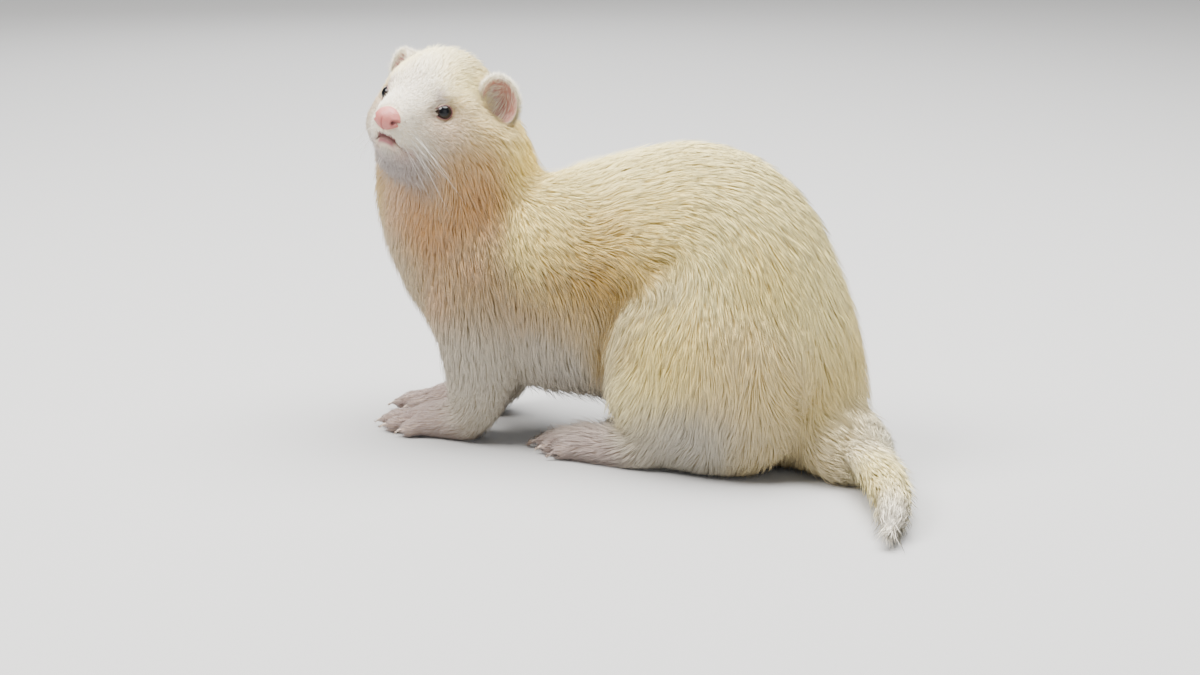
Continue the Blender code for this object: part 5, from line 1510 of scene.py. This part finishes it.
# The hair of the ears: short white wool on the rim and the back, and pale streaks that grow from the
# front edge across the pink skin.
STREAK_LENGTH = 5.5
WOOL_LENGTH = 3.3
WOOL_FINER = 0.7
for number, (name, (ear, ear_place, ear_axes)) in enumerate(ear_points.items()):
    points, normals = points_of(ear.data), normals_of(ear.data)
    corners = corners_of(ear.data)
    in_ear = (points - ear_place) @ ear_axes.T / MM
    radial = np.hypot(in_ear[:, 0] * MM / EAR_RADII[0], in_ear[:, 1] * MM / EAR_RADII[1])
    outside = np.sum(normals * ear_axes[2], axis=1) < 0.35
    inside = (~outside) & (radial < 0.80)
    front = smooth_step(-in_ear[:, 0] * (1 if name == "left" else -1), -2.0, 5.0)
    flat = in_ear * (1, 1, 0)
    # on the back and rim the hair points out to the edge and up; inside it crosses from the front
    outward_way = unit(flat) + (0, 0.5, 0.9)
    crossing = np.array((0.75 if name == "left" else -0.75, 0.62, 0.35))
    ways = np.where(inside[:, None], crossing, outward_way) @ ear_axes
    ways = laid(ways, normals)
    hair = np.where(inside, STREAK_LENGTH, WOOL_LENGTH)
    at_edge = radial > 0.86
    few = np.where(inside, 0.4 + 1.3 * front, np.where(at_edge, 3.8, 3.4))
    constant = np.ones(len(points))
    colours = blended_colours(points, MARKINGS, HEAD_MARKINGS)
    paler = np.where(inside, 0.9, 0.15 + 0.65 * smooth_step(radial, 0.80, 0.98))[:, None]
    colours = colours * (1 - paler) + paler * np.array(WHITE)
    stand = np.where(inside, 14.0, np.where(at_edge, 32.0, 9.0))
    ear_fields = (few, hair, 0.7 * constant, stand, 0.35 * constant, 12.0 * constant, colours)
    tufts = grown(points, normals, corners, ways, ear_fields, 31 + number)
    tufts["wide"] = tufts["wide"] * WOOL_FINER
    # the edge's hair is seen from both sides, so light falls on it as on the edge itself
    reach = np.einsum("ij,ij->i", radial[corners[tufts["face"]]], tufts["weights"])
    at_rim = smooth_step(reach, 0.75, 0.90)
    edge_way = unit((tufts["roots"] - ear_place) @ ear_axes.T * (1, 1, 0)) @ ear_axes
    tufts["normal"] = unit(tufts["normal"] * (1 - at_rim[:, None]) + at_rim[:, None] * edge_way)
    corner_map = unwrapped(points, corners)
    uvs = np.einsum("ijk,ij->ik", corner_map[tufts["face"]], tufts["weights"])
    add_tufts(f"coat_ear_{name}", tufts, np.arange(len(tufts["roots"])), uvs, 2)

# The claws: a short, pale, curved claw of horn on each toe. It grows out of the toe's end, half
# hidden by the fur there, and its point comes down towards the floor.
CLAW_LENGTH = 3.6
CLAW_RADIUS = 0.62
# The share of the claw's length past the toe's tip, and its height and thickness there
CLAW_CURVE = np.array(
    ((-0.55, 3.1, 0.9), (0.0, 3.6, 1.0), (0.4, 3.3, 0.8), (0.8, 2.1, 0.45), (1.0, 1.2, 0.08))
)

claw_finish, tree, shader = new_material("claw")
HORN = (0.52, 0.38, 0.30, 1.0)
HORN_TIP = (0.66, 0.56, 0.45, 1.0)
horn = mixed(tree, "MIX", attribute(tree, "along").outputs["Fac"], HORN, HORN_TIP)
tree.links.new(horn, shader.inputs["Base Color"])
shader.inputs["Roughness"].default_value = 0.32

for side, hand in ((1, "left"), (-1, "right")):
    for foot in ("fore", "hind"):
        claws = []
        for knuckle, tip in toes_of(foot, side):
            claw = ball(f"claw_{foot}_{hand}", (0, 0, 0), (1, 1, 1), np.eye(3), 10, 12)
            shape = points_of(claw.data)
            ahead = tip - knuckle
            ahead /= np.linalg.norm(ahead)
            along = 0.5 + 0.5 * shape[:, 2]
            knots = np.linspace(0, 1, len(CLAW_CURVE))
            reach, height, thick = (np.interp(along, knots, column) for column in CLAW_CURVE.T)
            rounding = np.hypot(shape[:, 0], shape[:, 1])
            spread = CLAW_RADIUS * thick[:, None] * shape[:, :2] / np.maximum(rounding, 0.25)[:, None]
            places = np.empty_like(shape)
            places[:, :2] = tip + (reach * CLAW_LENGTH)[:, None] * ahead
            places[:, :2] += 0.75 * spread[:, :1] * np.array((-ahead[1], ahead[0]))
            places[:, 2] = height + 1.1 * spread[:, 1]
            set_points(claw.data, from_body(places))
            set_attribute(claw.data, "along", along)
            claws.append(claw)
        claws = joined(claws, f"claws_{foot}_{hand}")
        faces_outward(claws.data)
        claws.data.shade_smooth()
        claws.data.materials.clear()
        claws.data.materials.append(claw_finish)
        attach(claws, "root")

# The whiskers: fine, stiff white hairs in rows on the muzzle, swept back and down past the cheeks.
# A few shorter ones stand above each eye and on the chin.
WHISKER_ROOTS = (
    (16.2, 6.6, -9.2), (14.8, 7.8, -9.4), (13.2, 8.9, -9.8), (11.4, 10.0, -10.2),
    (16.0, 6.4, -11.2), (14.4, 7.8, -11.6), (12.6, 9.2, -12.2), (10.6, 10.4, -12.8),
    (15.2, 6.2, -13.4), (13.4, 7.6, -14.0), (11.4, 9.0, -14.8), (9.4, 10.4, -15.6),
    (12.6, 7.4, -16.4), (10.4, 9.0, -17.4),
    (3.5, 12.5, 5.5), (1.5, 14.5, 5.5), (5.0, 9.0, -25.5), (8.0, 6.0, -25.0),
)
WHISKER_WAY = np.array((-0.52, 0.62, -0.46))
WHISKER_SIDES = 6
WHISKER_STEPS = 10
WHISKER_RADIUS = 0.075 * MM
# Their lengths: the front ones, how much longer the back ones are, those of brow and chin, which come
# last in the rows, and the longest of the far side
SHORTEST = 15.0
LONGER = 22.0
MUZZLE_ROOTS = 14
BROW_LENGTH = 12.0
LONGEST_FAR = 27.0

whisker_finish, tree, shader = new_material("whisker")
shader.inputs["Base Color"].default_value = (0.90, 0.87, 0.80, 1.0)
shader.inputs["Roughness"].default_value = 0.35

chance = np.random.default_rng(5)
near_skin = nearest_in(skin_points)
# they bend down and back along their length
droop = np.array((0.0, 0.0, -0.16)) - 0.22 * HEAD_AXES[0]
for side, hand in ((1, "left"), (-1, "right")):
    whiskers = []
    for number, root in enumerate(WHISKER_ROOTS):
        place = from_head(mirrored(root, side) * MM)
        under = near_skin([place])[0]
        place, normal = skin_points[under], skin_normals[under]
        back = (16.5 - root[0]) / 7.0
        length = (SHORTEST + LONGER * back) * chance.uniform(0.85, 1.15)
        way = WHISKER_WAY + (0.0, 0.0, 0.05 * (root[2] + 12.0)) + chance.normal(0, 0.19, 3)
        if number >= MUZZLE_ROOTS:
            length = BROW_LENGTH * chance.uniform(0.85, 1.15)
            way = np.array((-0.5, 0.55, 0.55 if root[2] > 0 else -0.75))
        if side < 0:
            length = min(length, LONGEST_FAR)
        way = (way / np.linalg.norm(way) * (1, side, 1)) @ HEAD_AXES + 0.25 * normal
        line = np.linspace(0, 1, WHISKER_STEPS + 1)
        middle = place - 0.8 * MM * normal + (line[:, None] * way + line[:, None] ** 2 * droop) * length * MM
        whisker = ball(f"whisker_{number}", (0, 0, 0), (1, 1, 1), np.eye(3), WHISKER_SIDES, WHISKER_STEPS)
        shape = points_of(whisker.data)
        along = np.arccos(np.clip(-shape[:, 2], -1, 1)) / np.pi
        centre = np.stack([np.interp(along, line, middle[:, axis]) for axis in range(3)], axis=1)
        one = np.cross(way, (0, 0, 1))
        one /= np.linalg.norm(one)
        two = np.cross(one, way) / np.linalg.norm(way)
        thick = WHISKER_RADIUS * (1.0 - 0.8 * along)
        rounding = np.maximum(np.hypot(shape[:, 0], shape[:, 1]), 1e-3)
        ends = np.clip(rounding * 3.0, 0.0, 1.0)
        round_x, round_y = (shape[:, axis] / rounding * thick * ends for axis in (0, 1))
        set_points(whisker.data, centre + round_x[:, None] * one + round_y[:, None] * two)
        whiskers.append(whisker)
    whiskers = joined(whiskers, f"whiskers_{hand}")
    faces_outward(whiskers.data)
    whiskers.data.shade_smooth()
    whiskers.data.materials.clear()
    whiskers.data.materials.append(whisker_finish)
    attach(whiskers, "root")
